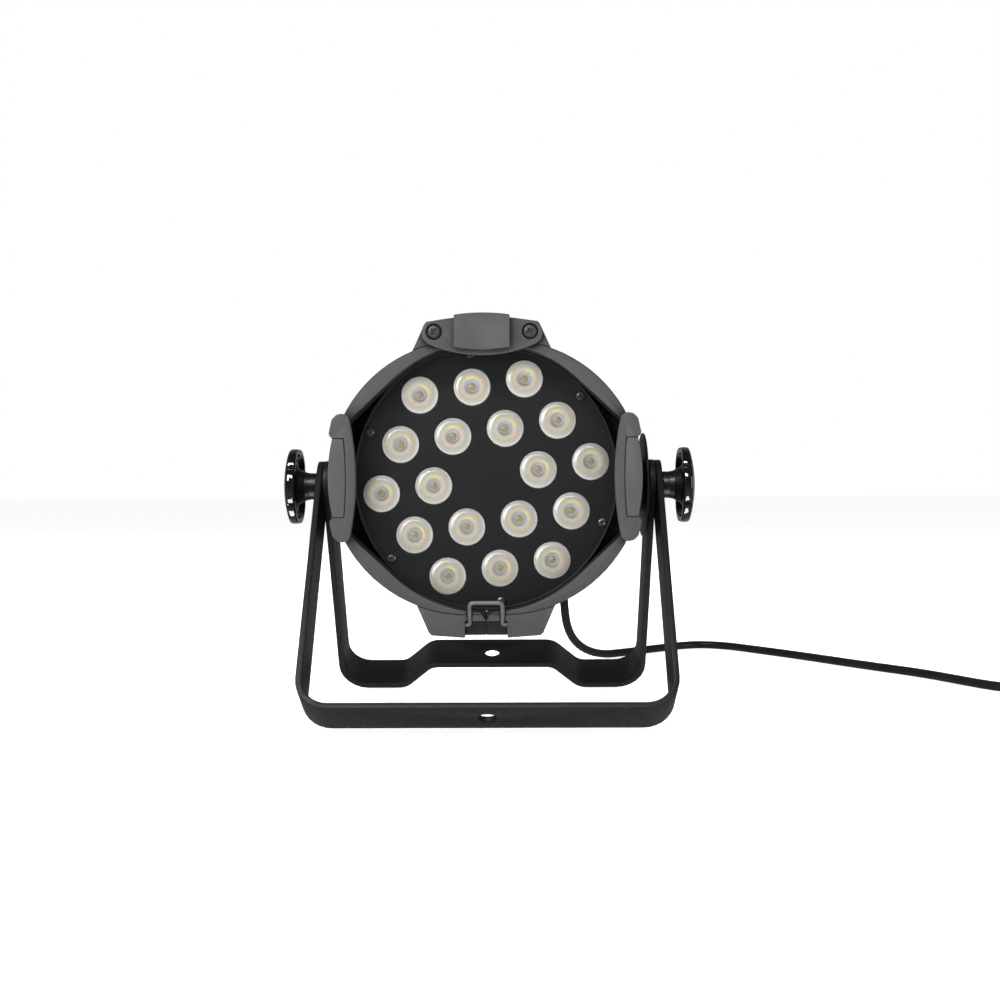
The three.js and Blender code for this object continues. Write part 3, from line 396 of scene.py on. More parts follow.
def block(name, x, y, z, origin):
    """A box between the ends of three ranges, which count from the origin."""
    (left, right), (front, back), (low, high) = ((a + o, b + o) for (a, b), o in zip((x, y, z), origin))
    return plate(name, [(left, low), (right, low), (right, high), (left, high)], front, back)


def circle(radius, x, z, count, first=0):
    """Points spread evenly round a circle, from an angle in degrees."""
    angles = [math.radians(first) + 2 * math.pi * k / count for k in range(count)]
    return [(x + radius * math.cos(a), z + radius * math.sin(a)) for a in angles]


def arc_band(inner, outer, x, z, start, end, steps=28):
    """The outline of a curved band between two radii, from one angle to another in degrees."""
    angles = [math.radians(start + (end - start) * k / steps) for k in range(steps + 1)]
    near = [(x + inner * math.cos(a), z + inner * math.sin(a)) for a in angles]
    far = [(x + outer * math.cos(a), z + outer * math.sin(a)) for a in reversed(angles)]
    return near + far


def place(piece, material, slot, *nodes, body="head"):
    """Gives a piece its material and body, and hides the CAD nodes that it stands for. The slot argument is
    not used.
    """
    if material is not None:
        piece.data.materials.clear()
        piece.data.materials.append(material)
    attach(piece, body)
    if nodes:
        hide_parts(*nodes)
    return piece


def rounded_node(name, node, material, slot, width, segments=2, angle=32, body="head"):
    """A CAD node with its edges rounded, as the piece that stands for it."""
    return place(round_edges(copy_of(name, node), width, segments, angle), material, slot, node, body=body)


# ------------ materials
class Graph:
    """A node tree, with short calls for the nodes that are used most."""

    def __init__(self, tree):
        self.nodes, self.links = tree.nodes, tree.links

    def node(self, kind, **settings):
        node = self.nodes.new("ShaderNode" + kind)
        for key, value in settings.items():
            setattr(node, key, value)
        return node

    def feed(self, socket, value):
        """Gives a socket another node's output or a constant."""
        if isinstance(value, bpy.types.NodeSocket):
            self.links.new(value, socket)
        else:
            socket.default_value = value

    def math(self, operation, *values):
        node = self.node("Math", operation=operation)
        for socket, value in zip(node.inputs, values):
            self.feed(socket, value)
        return node.outputs[0]

    def ramp(self, source, low, high, low_value, high_value):
        """Maps a value from low..high to low_value..high_value."""
        node = self.node("MapRange")
        names = ("Value", "From Min", "From Max", "To Min", "To Max")
        for name, value in zip(names, (source, low, high, low_value, high_value)):
            self.feed(node.inputs[name], value)
        return node.outputs["Result"]

    def axes(self, coordinate):
        """The X, Y and Z of a texture coordinate."""
        parts = self.node("SeparateXYZ")
        self.links.new(self.node("TexCoord").outputs[coordinate], parts.inputs["Vector"])
        return parts.outputs


class Surface(Graph):
    """A node-based material that is built up step by step round one Principled shader."""

    def __init__(self, name, colour, roughness, metallic=0.0, **sockets):
        self.material = bpy.data.materials.new(name)
        self.material.use_nodes = True
        super().__init__(self.material.node_tree)
        self.shader = self.nodes["Principled BSDF"]
        self.colour = colour
        self.tint = None
        sockets = {"Base Color": (*colour, 1), "Roughness": roughness, "Metallic": metallic, **sockets}
        for socket, value in sockets.items():
            self.shader.inputs[socket.replace("_", " ")].default_value = value
        self.place = self.node("TexCoord").outputs["Object"]

    def noise(self, size_mm, detail=3.0, stretch=None):
        """Noise whose features are about size_mm across, drawn out along an axis if stretch says so."""
        source = self.place
        if stretch:
            mapping = self.node("Mapping")
            mapping.inputs["Scale"].default_value = stretch
            self.links.new(source, mapping.inputs["Vector"])
            source = mapping.outputs["Vector"]
        noise = self.node("TexNoise")
        noise.inputs["Scale"].default_value = 1 / (size_mm * MM)
        noise.inputs["Detail"].default_value = detail
        self.links.new(source, noise.inputs["Vector"])
        return noise.outputs["Fac"]

    def mix(self, amount, other):
        """Lays another colour over the base colour by an amount that varies over the surface."""
        node = self.node("Mix", data_type="RGBA")
        self.links.new(amount, node.inputs["Factor"])
        base = (*self.colour, 1) if self.tint is None else self.tint
        self.feed(node.inputs[6], base)  # sockets 6 and 7 going in and 2 coming out are the colours
        node.inputs[7].default_value = (*other, 1)
        self.tint = node.outputs[2]
        self.links.new(self.tint, self.shader.inputs["Base Color"])
        return self

    def mottle(self, size_mm, other, amount=1.0, detail=4.0):
        return self.mix(self.ramp(self.noise(size_mm, detail), 0.35, 0.65, 0, amount), other)

    def worn_edges(self, other, amount=0.6):
        """Convex edges, where the finish rubs thin."""
        point = self.node("NewGeometry").outputs["Pointiness"]
        return self.mix(self.ramp(point, 0.51, 0.58, 0, amount), other)

    def painted_corner_shade(self, other, reach_mm, amount=1.0):
        """Painted shade: a darker colour in the pockets and inner corners, from ambient occlusion."""
        node = self.node("AmbientOcclusion", samples=8)
        node.inputs["Distance"].default_value = reach_mm * MM
        return self.mix(self.ramp(node.outputs["AO"], 0.985, 0.6, 0, amount), other)

    def gloss(self, size_mm, low, high, stretch=None):
        """Roughness that varies from low to high."""
        value = self.ramp(self.noise(size_mm, 3, stretch), 0.3, 0.7, low, high)
        self.links.new(value, self.shader.inputs["Roughness"])
        return self

    def grain(self, size_mm, strength, depth_mm=0.05, detail=2.0, stretch=None):
        bump = self.node("Bump")
        bump.inputs["Strength"].default_value = strength
        bump.inputs["Distance"].default_value = depth_mm * MM
        self.links.new(self.noise(size_mm, detail, stretch), bump.inputs["Height"])
        before = self.shader.inputs["Normal"]
        if before.is_linked:
            self.links.new(before.links[0].from_socket, bump.inputs["Normal"])
        self.links.new(bump.outputs["Normal"], before)
        return self


def scaled(colour, factor):
    return tuple(min(1, c * factor) for c in colour)


def grey_moulding():
    surface = Surface("grey_moulding", (0.087, 0.087, 0.088), 0.62)
    surface.mottle(9, (0.077, 0.077, 0.078)).mottle(0.7, (0.1, 0.1, 0.101), 0.5)
    # the last step paints shade into the corners and pockets
    surface.worn_edges((0.15, 0.15, 0.152), 0.5).painted_corner_shade((0.012, 0.012, 0.0125), 12, 0.92)
    return surface.gloss(1.2, 0.52, 0.68).grain(0.45, 0.5, 0.06).material


# Painted shade: a near-black version of the grey moulding, for the ring's faces where shade falls
def pocket_painted_shade():
    surface = Surface("pocket_painted_shade", (0.026, 0.026, 0.0265), 0.66)
    surface.mottle(4, (0.021, 0.021, 0.0215)).mottle(0.6, (0.034, 0.034, 0.0345), 0.5)
    return surface.gloss(1.2, 0.58, 0.72).grain(0.4, 0.6, 0.06).material


def pad_moulding():
    surface = Surface("pad_moulding", (0.098, 0.098, 0.099), 0.58)
    surface.mottle(7, (0.088, 0.088, 0.089)).mottle(0.6, (0.112, 0.112, 0.113), 0.5)
    surface.worn_edges((0.16, 0.16, 0.162), 0.4)
    return surface.gloss(1.0, 0.5, 0.64).grain(0.4, 0.45, 0.05).material


def powder_coat(name, colour, wear):
    surface = Surface(name, colour, 0.42, Specular_IOR_Level=0.32)
    surface.mottle(14, scaled(colour, 0.8)).mottle(0.9, scaled(colour, 1.25), 0.4)
    surface.worn_edges(tuple(c * 3.2 + 0.02 for c in colour), wear)
    return surface.gloss(3, 0.36, 0.5).grain(0.8, 0.4, 0.05).grain(0.25, 0.25, 0.03).material


def plate_finish():
    surface = Surface("plate_finish", (0.0125, 0.0125, 0.013), 0.5)
    surface.mottle(24, (0.0155, 0.0155, 0.016)).mottle(0.35, (0.0095, 0.0095, 0.01), 0.6)
    return surface.gloss(2, 0.44, 0.58).grain(0.3, 0.4, 0.03).material


def gloss_black():
    surface = Surface(
        "gloss_black", (0.005, 0.005, 0.006), 0.08,
        Specular_IOR_Level=0.8, Coat_Weight=1.0, Coat_IOR=1.75, Coat_Roughness=0.05,
    )
    surface.mottle(6, (0.009, 0.009, 0.01))
    return surface.gloss(2.5, 0.05, 0.12).grain(4.0, 0.06, 0.03).material


def satin_black():
    surface = Surface("satin_black", (0.006, 0.006, 0.0065), 0.36)
    surface.mottle(5, (0.01, 0.01, 0.011))
    return surface.gloss(2, 0.3, 0.44).grain(0.5, 0.3, 0.03).material


def steel(name, colour, roughness, stretch=None, metallic=1.0):
    surface = Surface(name, colour, roughness, metallic)
    surface.mottle(2, scaled(colour, 0.82), 0.7)
    surface.gloss(0.4, roughness * 0.7, roughness * 1.35, stretch)
    return surface.grain(0.3, 0.25, 0.02, stretch=stretch).material


def black_plastic(name="black_plastic", colour=(0.016, 0.016, 0.017), roughness=0.48):
    surface = Surface(name, colour, roughness)
    surface.mottle(5, scaled(colour, 1.3)).worn_edges(scaled(colour, 3), 0.4)
    return surface.gloss(1, roughness * 0.85, roughness * 1.2).grain(0.35, 0.4, 0.04).material


def cast_black():
    surface = Surface("cast_black", (0.02, 0.02, 0.021), 0.55)
    surface.mottle(11, (0.015, 0.015, 0.016)).mottle(1.1, (0.028, 0.028, 0.029), 0.5)
    surface.worn_edges((0.075, 0.075, 0.078), 0.5)
    return surface.gloss(2, 0.46, 0.64).grain(0.7, 0.6, 0.1).grain(0.2, 0.3, 0.03).material


def cord_jacket():
    surface = Surface("cord_jacket", (0.009, 0.009, 0.009), 0.34)
    surface.mottle(12, (0.014, 0.014, 0.014))
    return surface.gloss(4, 0.28, 0.42).grain(1.4, 0.25, 0.05).grain(0.2, 0.2, 0.02).material


def moulded_rubber():
    surface = Surface("moulded_rubber", (0.011, 0.011, 0.011), 0.5)
    surface.mottle(4, (0.017, 0.017, 0.017)).worn_edges((0.03, 0.03, 0.03), 0.4)
    return surface.gloss(1.5, 0.44, 0.6).grain(0.4, 0.4, 0.04).material


def smoked_window():
    surface = Surface("smoked_window", (0.006, 0.009, 0.011), 0.06, Coat_Weight=0.6, Coat_Roughness=0.03)
    surface.mottle(5, (0.01, 0.013, 0.016))
    return surface.gloss(3, 0.04, 0.09).grain(3, 0.05, 0.02).material


def button_cap():
    surface = Surface("button_cap", (0.23, 0.235, 0.245), 0.42)
    surface.mottle(2, (0.2, 0.205, 0.215)).worn_edges((0.4, 0.4, 0.41), 0.4)
    return surface.gloss(0.8, 0.36, 0.5).grain(0.3, 0.3, 0.03).material


def segment_grey():
    surface = Surface("segment_grey", (0.075, 0.06, 0.058), 0.3)
    return surface.mottle(1.2, (0.06, 0.05, 0.05)).gloss(0.8, 0.25, 0.36).grain(0.4, 0.1, 0.01).material


def solder_mask(name, colour):
    surface = Surface(name, colour, 0.4)
    surface.mottle(3, scaled(colour, 0.85)).mottle(0.8, scaled(colour, 1.15), 0.5)
    return surface.gloss(1, 0.32, 0.5).grain(0.5, 0.3, 0.03).material


def hook_tape():
    surface = Surface("hook_tape", (0.012, 0.012, 0.013), 0.85, Sheen_Weight=0.4, Sheen_Roughness=0.5)
    surface.mottle(0.8, (0.024, 0.024, 0.025))
    return surface.grain(0.45, 0.9, 0.2).material


def frosted_optic():
    """The moulded ring of a lens: cream, warmer towards the middle, with the chips' colours in arcs.
    Radii are in metres and angles in radians."""
    surface = Surface("frosted_optic", (0.59, 0.565, 0.48), 0.34, Coat_Weight=0.9, Coat_Roughness=0.22)
    calculate = surface.math
    axes = surface.axes("Object")
    across, up = axes["X"], axes["Z"]
    squares = calculate("ADD", calculate("MULTIPLY", across, across), calculate("MULTIPLY", up, up))
    radius = calculate("SQRT", squares)
    angle = calculate("ARCTAN2", up, across)
    surface.mix(surface.ramp(radius, 0.0096, 0.0084, 0, 0.7), (0.48, 0.47, 0.395))
    surface.mix(surface.ramp(radius, 0.0078, 0.0062, 0, 0.85), (0.66, 0.58, 0.42))
    # painted highlight: a near-white band round the rim, standing in for the rim's sheen
    surface.mix(surface.ramp(radius, 0.0098, 0.0110, 0, 0.9), (0.84, 0.84, 0.82))

    def arc(inner, outer, middle, half_width, colour, amount):
        """A soft coloured arc between two radii, about an angle."""
        from_middle = calculate("ABSOLUTE", calculate("SUBTRACT", radius, (inner + outer) / 2))
        near = surface.ramp(from_middle, 0, (outer - inner) / 2, 1, 0)
        turn = calculate("WRAP", calculate("SUBTRACT", angle, middle), math.pi, -math.pi)
        wide = surface.ramp(calculate("ABSOLUTE", turn), half_width * 0.3, half_width, 1, 0)
        surface.mix(calculate("MULTIPLY", calculate("MULTIPLY", near, wide), amount), colour)

    arc(0.0050, 0.0068, 0.95, 0.85, (0.90, 0.80, 0.12), 0.85)
    arc(0.0051, 0.0074, -0.35, 0.6, (0.93, 0.45, 0.36), 0.55)
    arc(0.0052, 0.0074, 3.9, 0.9, (0.84, 0.62, 0.34), 0.35)
    return surface.gloss(1.5, 0.22, 0.38).grain(0.9, 0.15, 0.03).material


def clear_well():
    """The wall of a lens's well: clear plastic that looks grey against the reflector."""
    surface = Surface("clear_well", (0.5, 0.505, 0.525), 0.14, Coat_Weight=0.8, Coat_Roughness=0.06)
    surface.mottle(1.0, (0.56, 0.565, 0.58))
    return surface.gloss(0.8, 0.08, 0.2).grain(0.8, 0.3, 0.05).material


CHIP_MM = 1.25


def chip_dome():
    """The dome over the light source, with the dull yellow and brown of the chips under it."""
    surface = Surface("chip_dome", (0.36, 0.26, 0.07), 0.1, Coat_Weight=1.0, Coat_Roughness=0.06)
    voronoi = surface.node("TexVoronoi", feature="F1", distance="CHEBYCHEV")
    voronoi.inputs["Scale"].default_value = 1 / (CHIP_MM * MM)
    voronoi.inputs["Randomness"].default_value = 0.35
    surface.links.new(surface.place, voronoi.inputs["Vector"])
    surface.mix(surface.ramp(voronoi.outputs["Distance"], 0.28, 0.5, 0, 1), (0.42, 0.38, 0.26))
    surface.mix(surface.ramp(voronoi.outputs["Distance"], 0.3, 0.0, 0, 0.85), (0.10, 0.055, 0.02))
    return surface.gloss(0.8, 0.06, 0.14).material


GREY = grey_moulding()
POCKET_SHADE = pocket_painted_shade()
PAD = pad_moulding()
YOKE = powder_coat("yoke_coat", (0.0145, 0.0145, 0.015), 0.35)
HUB = powder_coat("hub_coat", (0.012, 0.012, 0.0125), 0.3)
PLATE = plate_finish()
GLOSS = gloss_black()
SATIN = satin_black()
BRIGHT = steel("bright_screw", (0.62, 0.62, 0.63), 0.26)
DARK_SCREW = steel("dark_screw", (0.16, 0.16, 0.162), 0.42, metallic=0.7)
WIRE = steel("catch_wire", (0.3, 0.3, 0.305), 0.42, stretch=(0.15, 1, 1), metallic=0.45)
STUD = steel("stud_steel", (0.55, 0.55, 0.56), 0.3)
ZINC = steel("zinc", (0.5, 0.5, 0.5), 0.34)
PIN_METAL = steel("pin_metal", (0.68, 0.66, 0.6), 0.22)
BLACK = black_plastic()
REAR = black_plastic("rear_plastic", (0.02, 0.02, 0.021), 0.52)
CAST = cast_black()
JACKET = cord_jacket()
RUBBER = moulded_rubber()
WINDOW = smoked_window()
BUTTON = button_cap()
SEGMENT = segment_grey()
BOARD_WHITE = solder_mask("board_white", (0.72, 0.72, 0.69))
BOARD_GREEN = solder_mask("board_green", (0.02, 0.1, 0.045))
TAPE = hook_tape()
OPTIC = frosted_optic()
WELL = clear_well()
DOME = chip_dome()

cord.data.materials.append(JACKET)


# ------------ yokes
for node, body in (("front_yoke", "stand"), ("rear_yoke", "rear_yoke")):
    rounded_node(node + "_strip", node, YOKE, "satin_black_paint", 0.7, 3, body=body)


# ------------ pivots
HUB_MM = Sizes(inner=88.3, outer=103.6, neck=18.0, boss=16.0, disc=34.0, disc_in=99.3, disc_out=102.0)
STUD_RADIUS_MM = 4.0
KNOB_MM = Sizes(
    inner=112.8, outer=134.3, star=9.5, dome=4.2, neck=8.7, radius=25.6, lobe=3.0, rim=3.2, hollow=3.6,
    groove=0.5,
)
KNOB_LOBES, KNOB_SEGMENTS = 6, 168
KNOB_BACK_MM = KNOB_MM.outer - KNOB_MM.star
KNOB_LOBED, KNOB_ROUND = 0.6, 0.96  # shares of the radius: inside the first, the second stands for the lobes


def make_hub(word, side):
    m = HUB_MM
    profile = eased([
        (STUD_RADIUS_MM + 0.6, m.inner), (m.neck, m.inner), (m.neck, m.disc_in),
        (m.disc, m.disc_in + 0.9), (m.disc, m.disc_out - 0.4), (m.boss + 3, m.disc_out),
        (m.boss, m.disc_out + 0.2), (m.boss, m.outer), (STUD_RADIUS_MM + 0.6, m.outer),
    ], 0.7, 3, closed=True)
    hub = turned(f"pivot_hub_{word}", profile, 96, side=side, closed=True)
    return place(hub, HUB, "hub_black", f"hub_{word}")


def star_radius(angle):
    dip = 1 - abs(math.cos(KNOB_LOBES / 2 * angle)) ** 0.4
    return KNOB_MM.radius - KNOB_MM.lobe * dip


def knob_sections():
    """How far out, how deep and on which side each ring of the star's surface lies, from its hollow
    back over the rounded lobes to the middle of its domed face."""
    inner, hollow = 1 - KNOB_MM.rim / KNOB_MM.radius, KNOB_MM.hollow
    back = [(0.3, hollow, 0), (inner - 0.05, hollow, 0), (inner - 0.02, hollow - 0.8, 0), (inner, 0.25, 0)]
    back += [(inner + 0.015, 0.0, 0), (0.95, 0.0, 0), (0.975, 0.15, 0), (0.992, 0.6, 0), (1.0, 1.5, 0)]
    front = [(1.0, 3.0, 1), (0.996, 1.3, 1), (0.983, 0.55, 1), (0.962, 0.15, 1), (0.93, 0.0, 1)]
    face = [(share, 0.0, 1) for share in (0.85, 0.72, 0.58, 0.47, 0.42, 0.4, 0.38, 0.3, 0.15, 0.0)]
    return back + front + face


def make_star(side):
    m = KNOB_MM
    mesh = bmesh.new()
    rings = []
    for share, drop, domed in knob_sections():
        ring = []
        for k in range(KNOB_SEGMENTS if share > 0 else 1):
            angle = 2 * math.pi * k / KNOB_SEGMENTS
            radius = share * (star_radius(angle) if share > KNOB_LOBED else m.radius * KNOB_ROUND)
            depth = KNOB_BACK_MM + drop
            if domed:
                groove = m.groove if 0.39 < share < 0.43 else 0.0
                depth = KNOB_BACK_MM + m.star - m.dome * (radius / m.radius) ** 2 - drop - groove
            ring.append(mesh.verts.new(at(side * depth, radius * math.cos(angle), radius * math.sin(angle))))
        rings.append(ring)
    bridge(mesh, rings)
    mesh.faces.new(rings[0])
    return link("star", mesh, 50, GLOSS)


def make_knob(word, side):
    """A star with rounded lobes, domed outside and hollow behind, on a waisted neck."""
    neck, inner, hollow = KNOB_MM.neck, KNOB_MM.inner, KNOB_MM.hollow
    profile = eased([
        (STUD_RADIUS_MM + 0.4, inner + 3), (STUD_RADIUS_MM + 0.4, inner), (neck, inner), (neck, inner + 5),
        (neck + 0.6, inner + 8), (neck + 3.0, KNOB_BACK_MM + 0.4), (neck + 7.0, KNOB_BACK_MM + hollow + 0.1),
    ], 1.4, 5)
    parts = [make_star(side), turned("neck", profile, 72, side=side, smooth_angle=50, material=SATIN)]
    knob = joined(f"star_knob_{word}", parts)
    return place(knob, None, "gloss_black_plastic", f"knob_{word}", body=f"{word}_knob")


for word, side in (("left", -1), ("right", 1)):
    make_hub(word, side)
    make_knob(word, side)


# ------------ screws
RECESS_MM = 1.3
SCREW_SEAT_MM = 1.55  # from the front of a CAD screw to its seat
PLATE_SCREWS = 6


def screw_mesh(name, radius, height, cross, material):
    """A pan head with a flat top and a cross recess, which looks along -Y with its seat at the origin."""
    head = turned(name, eased([
        (0, -height), (radius * 0.72, -height), (radius * 0.95, -height * 0.7), (radius, -height * 0.3),
        (radius, 0), (radius * 0.5, 0), (radius * 0.5, 1.5), (0, 1.5),
    ], 0.35, 3), 40)
    head.data.transform(Matrix.Translation(-PIVOT))
    for turn in (0, 90):
        mesh = bmesh.new()
        bmesh.ops.create_cube(mesh, size=1)
        for vertex in mesh.verts:
            x, y, z = vertex.co
            width = cross * (0.55 if y > 0 else 1.0)
            vertex.co = Vector((x * width * 2, y * RECESS_MM * 2 - height, z * cross * 0.42)) * MM
        mesh.transform(Matrix.Rotation(math.radians(turn), 4, "Y"))
        cut(head, link("recess", mesh))
    head.data.materials.append(material)
    data = head.data
    bpy.data.objects.remove(head)
    return data


def put_screw(name, data, place_mm, turn, *nodes, backwards=False):
    """Sets a copy of a screw's mesh at a place, its recess turned by so many degrees."""
    screw = add_object(name, data.copy())
    screw.data.transform(Matrix.Rotation(math.radians(turn), 4, "Y"))
    if backwards:
        screw.data.transform(Matrix.Rotation(math.pi, 4, "Z"))
    screw.data.transform(Matrix.Translation(at(*place_mm)))
    return place(screw, None, "bright_screw", *nodes)


PLATE_SCREW_HEAD = screw_mesh("plate_screw_head", 2.7, 1.5, 1.8, BRIGHT)
CLIP_SCREW_HEAD = screw_mesh("clip_screw_head", 3.9, 1.7, 2.7, DARK_SCREW)
SMALL_SCREW_HEAD = screw_mesh("small_screw_head", 2.3, 1.3, 1.2, DARK_SCREW)


def centre_mm(node):
    """The middle of a CAD node's box, in millimetres from the pivot axis."""
    low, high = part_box(node)
    return ((low + high) / 2 - PIVOT) / MM


def seated(node, proud=0.0):
    """Where the seat of a CAD screw is, or a point that much behind it."""
    middle = centre_mm(node)
    return middle.x, (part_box(node)[0].y - PIVOT.y) / MM + SCREW_SEAT_MM + proud, middle.z


for i in range(1, PLATE_SCREWS + 1):
    node = f"plate_screw_{i}"
    put_screw(f"plate_screw_head_{i}", PLATE_SCREW_HEAD, seated(node), 17 + 47 * i, node)
for i, word in enumerate(("left", "right")):
    node = f"top_clip_screw_{word}"
    put_screw(f"clip_screw_head_{word}", CLIP_SCREW_HEAD, seated(node, 0.1), 40 + 25 * i, node)


# ------------ front ring and clips
RING_MM = Sizes(radius=83.7, offset=12.0, front=-62.0, groove=0.45, groove_depth=0.5)
GROOVE_ENDS = ((-112, -66), (66, 112))  # degrees, on the right half
POCKET_MM = Sizes(half=16.4, top=-78.5, front=-61.2, back=-55.9, wall=90)
SEAM_MM = (-0.17, 0.17), (-56.0, -30.0), (-96.6, -84.5)  # across, depth and height


def make_ring(word, side):
    """Half of the ring, with a groove where its round edge runs on over the chin and the shoulder."""
    ring = copy_of(f"front_ring_{word}", f"ring_{word}")
    half = RING_MM.groove / 2
    middle = (HEAD_X_MM + side * RING_MM.offset, HEAD_RISE_MM)
    for start, end in GROOVE_ENDS:
        if side < 0:
            start, end = 180 - end, 180 - start
        band = arc_band(RING_MM.radius - half, RING_MM.radius + half, *middle, start, end)
        cut(ring, plate("groove", band, RING_MM.front - 5, RING_MM.front + RING_MM.groove_depth))
    round_edges(ring, 0.35, 2)
    place(ring, GREY, "grey_moulding", f"ring_{word}")
    # painted shade: the chin pocket's faces and the ring's inner wall take the near-black second material
    ring.data.materials.append(POCKET_SHADE)
    m = POCKET_MM
    for face in ring.data.polygons:
        spot = (ring.matrix_world @ face.center - PIVOT) / MM - Vector((HEAD_X_MM, 0, HEAD_RISE_MM))
        in_pocket = abs(spot.x) < m.half and spot.z < m.top and m.front < spot.y < m.back
        inward = -face.normal.dot(Vector((spot.x, 0, spot.z)).normalized()) > 0.4
        if in_pocket or (inward and spot.y > m.front and math.hypot(spot.x, spot.z) < m.wall):
            face.material_index = 1
    return ring


for word, side in (("left", -1), ("right", 1)):
    make_ring(word, side)
    rounded_node(f"gel_clip_{word}", f"side_clip_{word}", GREY, "grey_moulding", 0.6, 3)
    rounded_node(f"gel_clip_pad_{word}", f"side_pad_{word}", PAD, "grey_pad", 0.45, 3)
rounded_node("joining_clip", "top_clip", GREY, "grey_moulding", 0.55, 3)


def make_seam():
    """The tongue that closes the joint between the ring's halves at the chin."""
    tongue = block("chin_tongue", *SEAM_MM, (HEAD_X_MM, 0, HEAD_RISE_MM))
    return place(tongue, BLACK, "grey_moulding")


def make_lip():
    """A thin bead that holds the plate's edge inside the ring."""
    profile = [(81.0, -44.6), (81.0, -43.9), (82.1, -43.9), (82.1, -45.4), (81.7, -45.4)]
    bead = turned("plate_bead", profile, 120, (HEAD_X_MM, HEAD_RISE_MM), closed=True)
    return place(round_edges(bead, 0.15, 2), BLACK, "grey_moulding")


make_seam()
make_lip()


# ------------ wire catch
CATCH_MM = Sizes(radius=1.25, half=10.1, foot=15.4, foot_bend=1.6, top_bend=3.2)
CATCH_PIVOT_MM, CATCH_TOP_MM = (-59.0, -90.2), (-65.2, -76.2)  # depth, and height from the head's middle


def make_catch():
    m = CATCH_MM
    (near, low), (far, high) = CATCH_PIVOT_MM, CATCH_TOP_MM
    rise = Vector((0, far - near, high - low))
    foot = Vector((HEAD_X_MM, near, low + HEAD_RISE_MM))
    half, wide = m.half, m.foot
    corners = ((-wide, 0), (-half, 0), (-half, 1), (half, 1), (half, 0), (wide, 0))
    path = [foot + Vector((x, 0, 0)) + rise * up for x, up in corners]
    wire = eased(path[:2] + [path[1] + rise * 0.5], m.foot_bend, 6)[:-1]
    wire += eased(path[1:5], m.top_bend, 8)[1:-1]
    wire += eased([path[4] + rise * 0.5, *path[4:]], m.foot_bend, 6)[1:]
    catch = tube_mesh("wire_bail", [at(*p) for p in wire], m.radius * MM, 18)
    return place(catch, WIRE, "catch_wire", "wire_catch", body="wire_catch")


make_catch()


# ------------ cover plate and lenses
PLATE_MM = Sizes(radius=81.6, front=-43.6, back=-41.6, hole=11.9, screw_hole=1.6, easing=0.25)
LENS_COUNT = 18
OPTIC_MM = Sizes(radius=11.5, back=-38.0, rim=-43.9, crown=-46.1, crown_radius=7.0, well=5.0)
WELL_MM = Sizes(floor=-43.0, chip=2.3)


def make_plate():
    """A disc with a round hole for each lens and screw, its edges just broken."""
    m = PLATE_MM
    data = bpy.data.curves.new("plate_outline", "CURVE")
    data.dimensions = "2D"
    data.fill_mode = "BOTH"
    data.extrude = ((m.back - m.front) / 2 - m.easing) * MM
    data.bevel_depth = m.easing * MM
    data.bevel_resolution = 1
    data.offset = -m.easing * MM
    rounds = [circle(m.radius, 0, 0, 160)]
    places = [(f"lens_{i}", m.hole, 48) for i in range(1, LENS_COUNT + 1)]
    places += [(f"plate_screw_{i}", m.screw_hole, 16) for i in range(1, PLATE_SCREWS + 1)]
    for node, radius, count in places:
        middle = centre_mm(node)
        rounds.append(circle(radius, middle.x - HEAD_X_MM, middle.z - HEAD_RISE_MM, count))
    for points in rounds:
        spline = data.splines.new("POLY")
        spline.points.add(len(points) - 1)
        for point, (x, z) in zip(spline.points, points):
            point.co = (x * MM, z * MM, 0, 1)
        spline.use_cyclic_u = True
    curve = add_object("lens_plate_curve", data)
    graph = bpy.context.evaluated_depsgraph_get()
    mesh = bpy.data.meshes.new_from_object(curve.evaluated_get(graph))
    bpy.data.objects.remove(curve)
    mesh.transform(Matrix.Rotation(math.pi / 2, 4, "X"))
    mesh.transform(Matrix.Translation(at(HEAD_X_MM, (m.front + m.back) / 2, HEAD_RISE_MM)))
    disc = add_object("lens_plate", mesh)
    shade(disc, 40)
    return place(disc, PLATE, "plate_black", "cover_plate")


def lens_profile():
    """The optic from its back round the rim, over its rounded crown and down to the well's edge."""
    m = OPTIC_MM
    profile = [(8.6, m.back), (m.radius - 0.3, -42.0), (m.radius, -43.0), (m.radius, m.rim)]
    for k in range(1, 13):
        share = 1 - k / 12
        radius = m.crown_radius + (m.radius - m.crown_radius) * share
        profile.append((radius, m.crown + (m.rim - m.crown) * share ** 2.3))
    for k in range(1, 4):
        share = k / 3
        radius = m.crown_radius + (m.well - m.crown_radius) * share
        profile.append((radius, m.crown + 0.2 * share ** 2))
    return profile


def make_lens(i, turn):
    """One lens: the frosted optic, its clear well and the dome over the chips."""
    profile = lens_profile()
    (radius, edge), floor, chip = profile[-1], WELL_MM.floor, WELL_MM.chip
    wall = [(radius, edge), (radius - 0.2, edge + 0.15), (4.0, edge + 1.0)]
    wall += [(3.5, floor - 0.5), (3.0, floor - 0.1), (chip, floor)]
    cap = [(chip, floor), (chip - 0.1, floor - 0.4), (2.1, floor - 1.0)]
    cap += [(1.3, floor - 1.45), (0, floor - 1.6)]
    lens = joined(f"lens_optic_{i}", [
        turned("optic", profile, 56, smooth_angle=60, material=OPTIC),
        turned("well", wall, 40, smooth_angle=24, material=WELL),
        turned("dome", cap, 32, smooth_angle=60, material=DOME),
    ])
    middle = centre_mm(f"lens_{i}")
    lens.data.transform(Matrix.Translation(-PIVOT))
    lens.location = at(middle.x, 0, middle.z)
    lens.rotation_euler = (0, math.radians(turn), 0)
    return place(lens, None, "frosted_lens", f"lens_{i}")


make_plate()
for i in range(1, LENS_COUNT + 1):
    make_lens(i, (i * 137) % 90 - 45)  # each at another turn, within 45 degrees

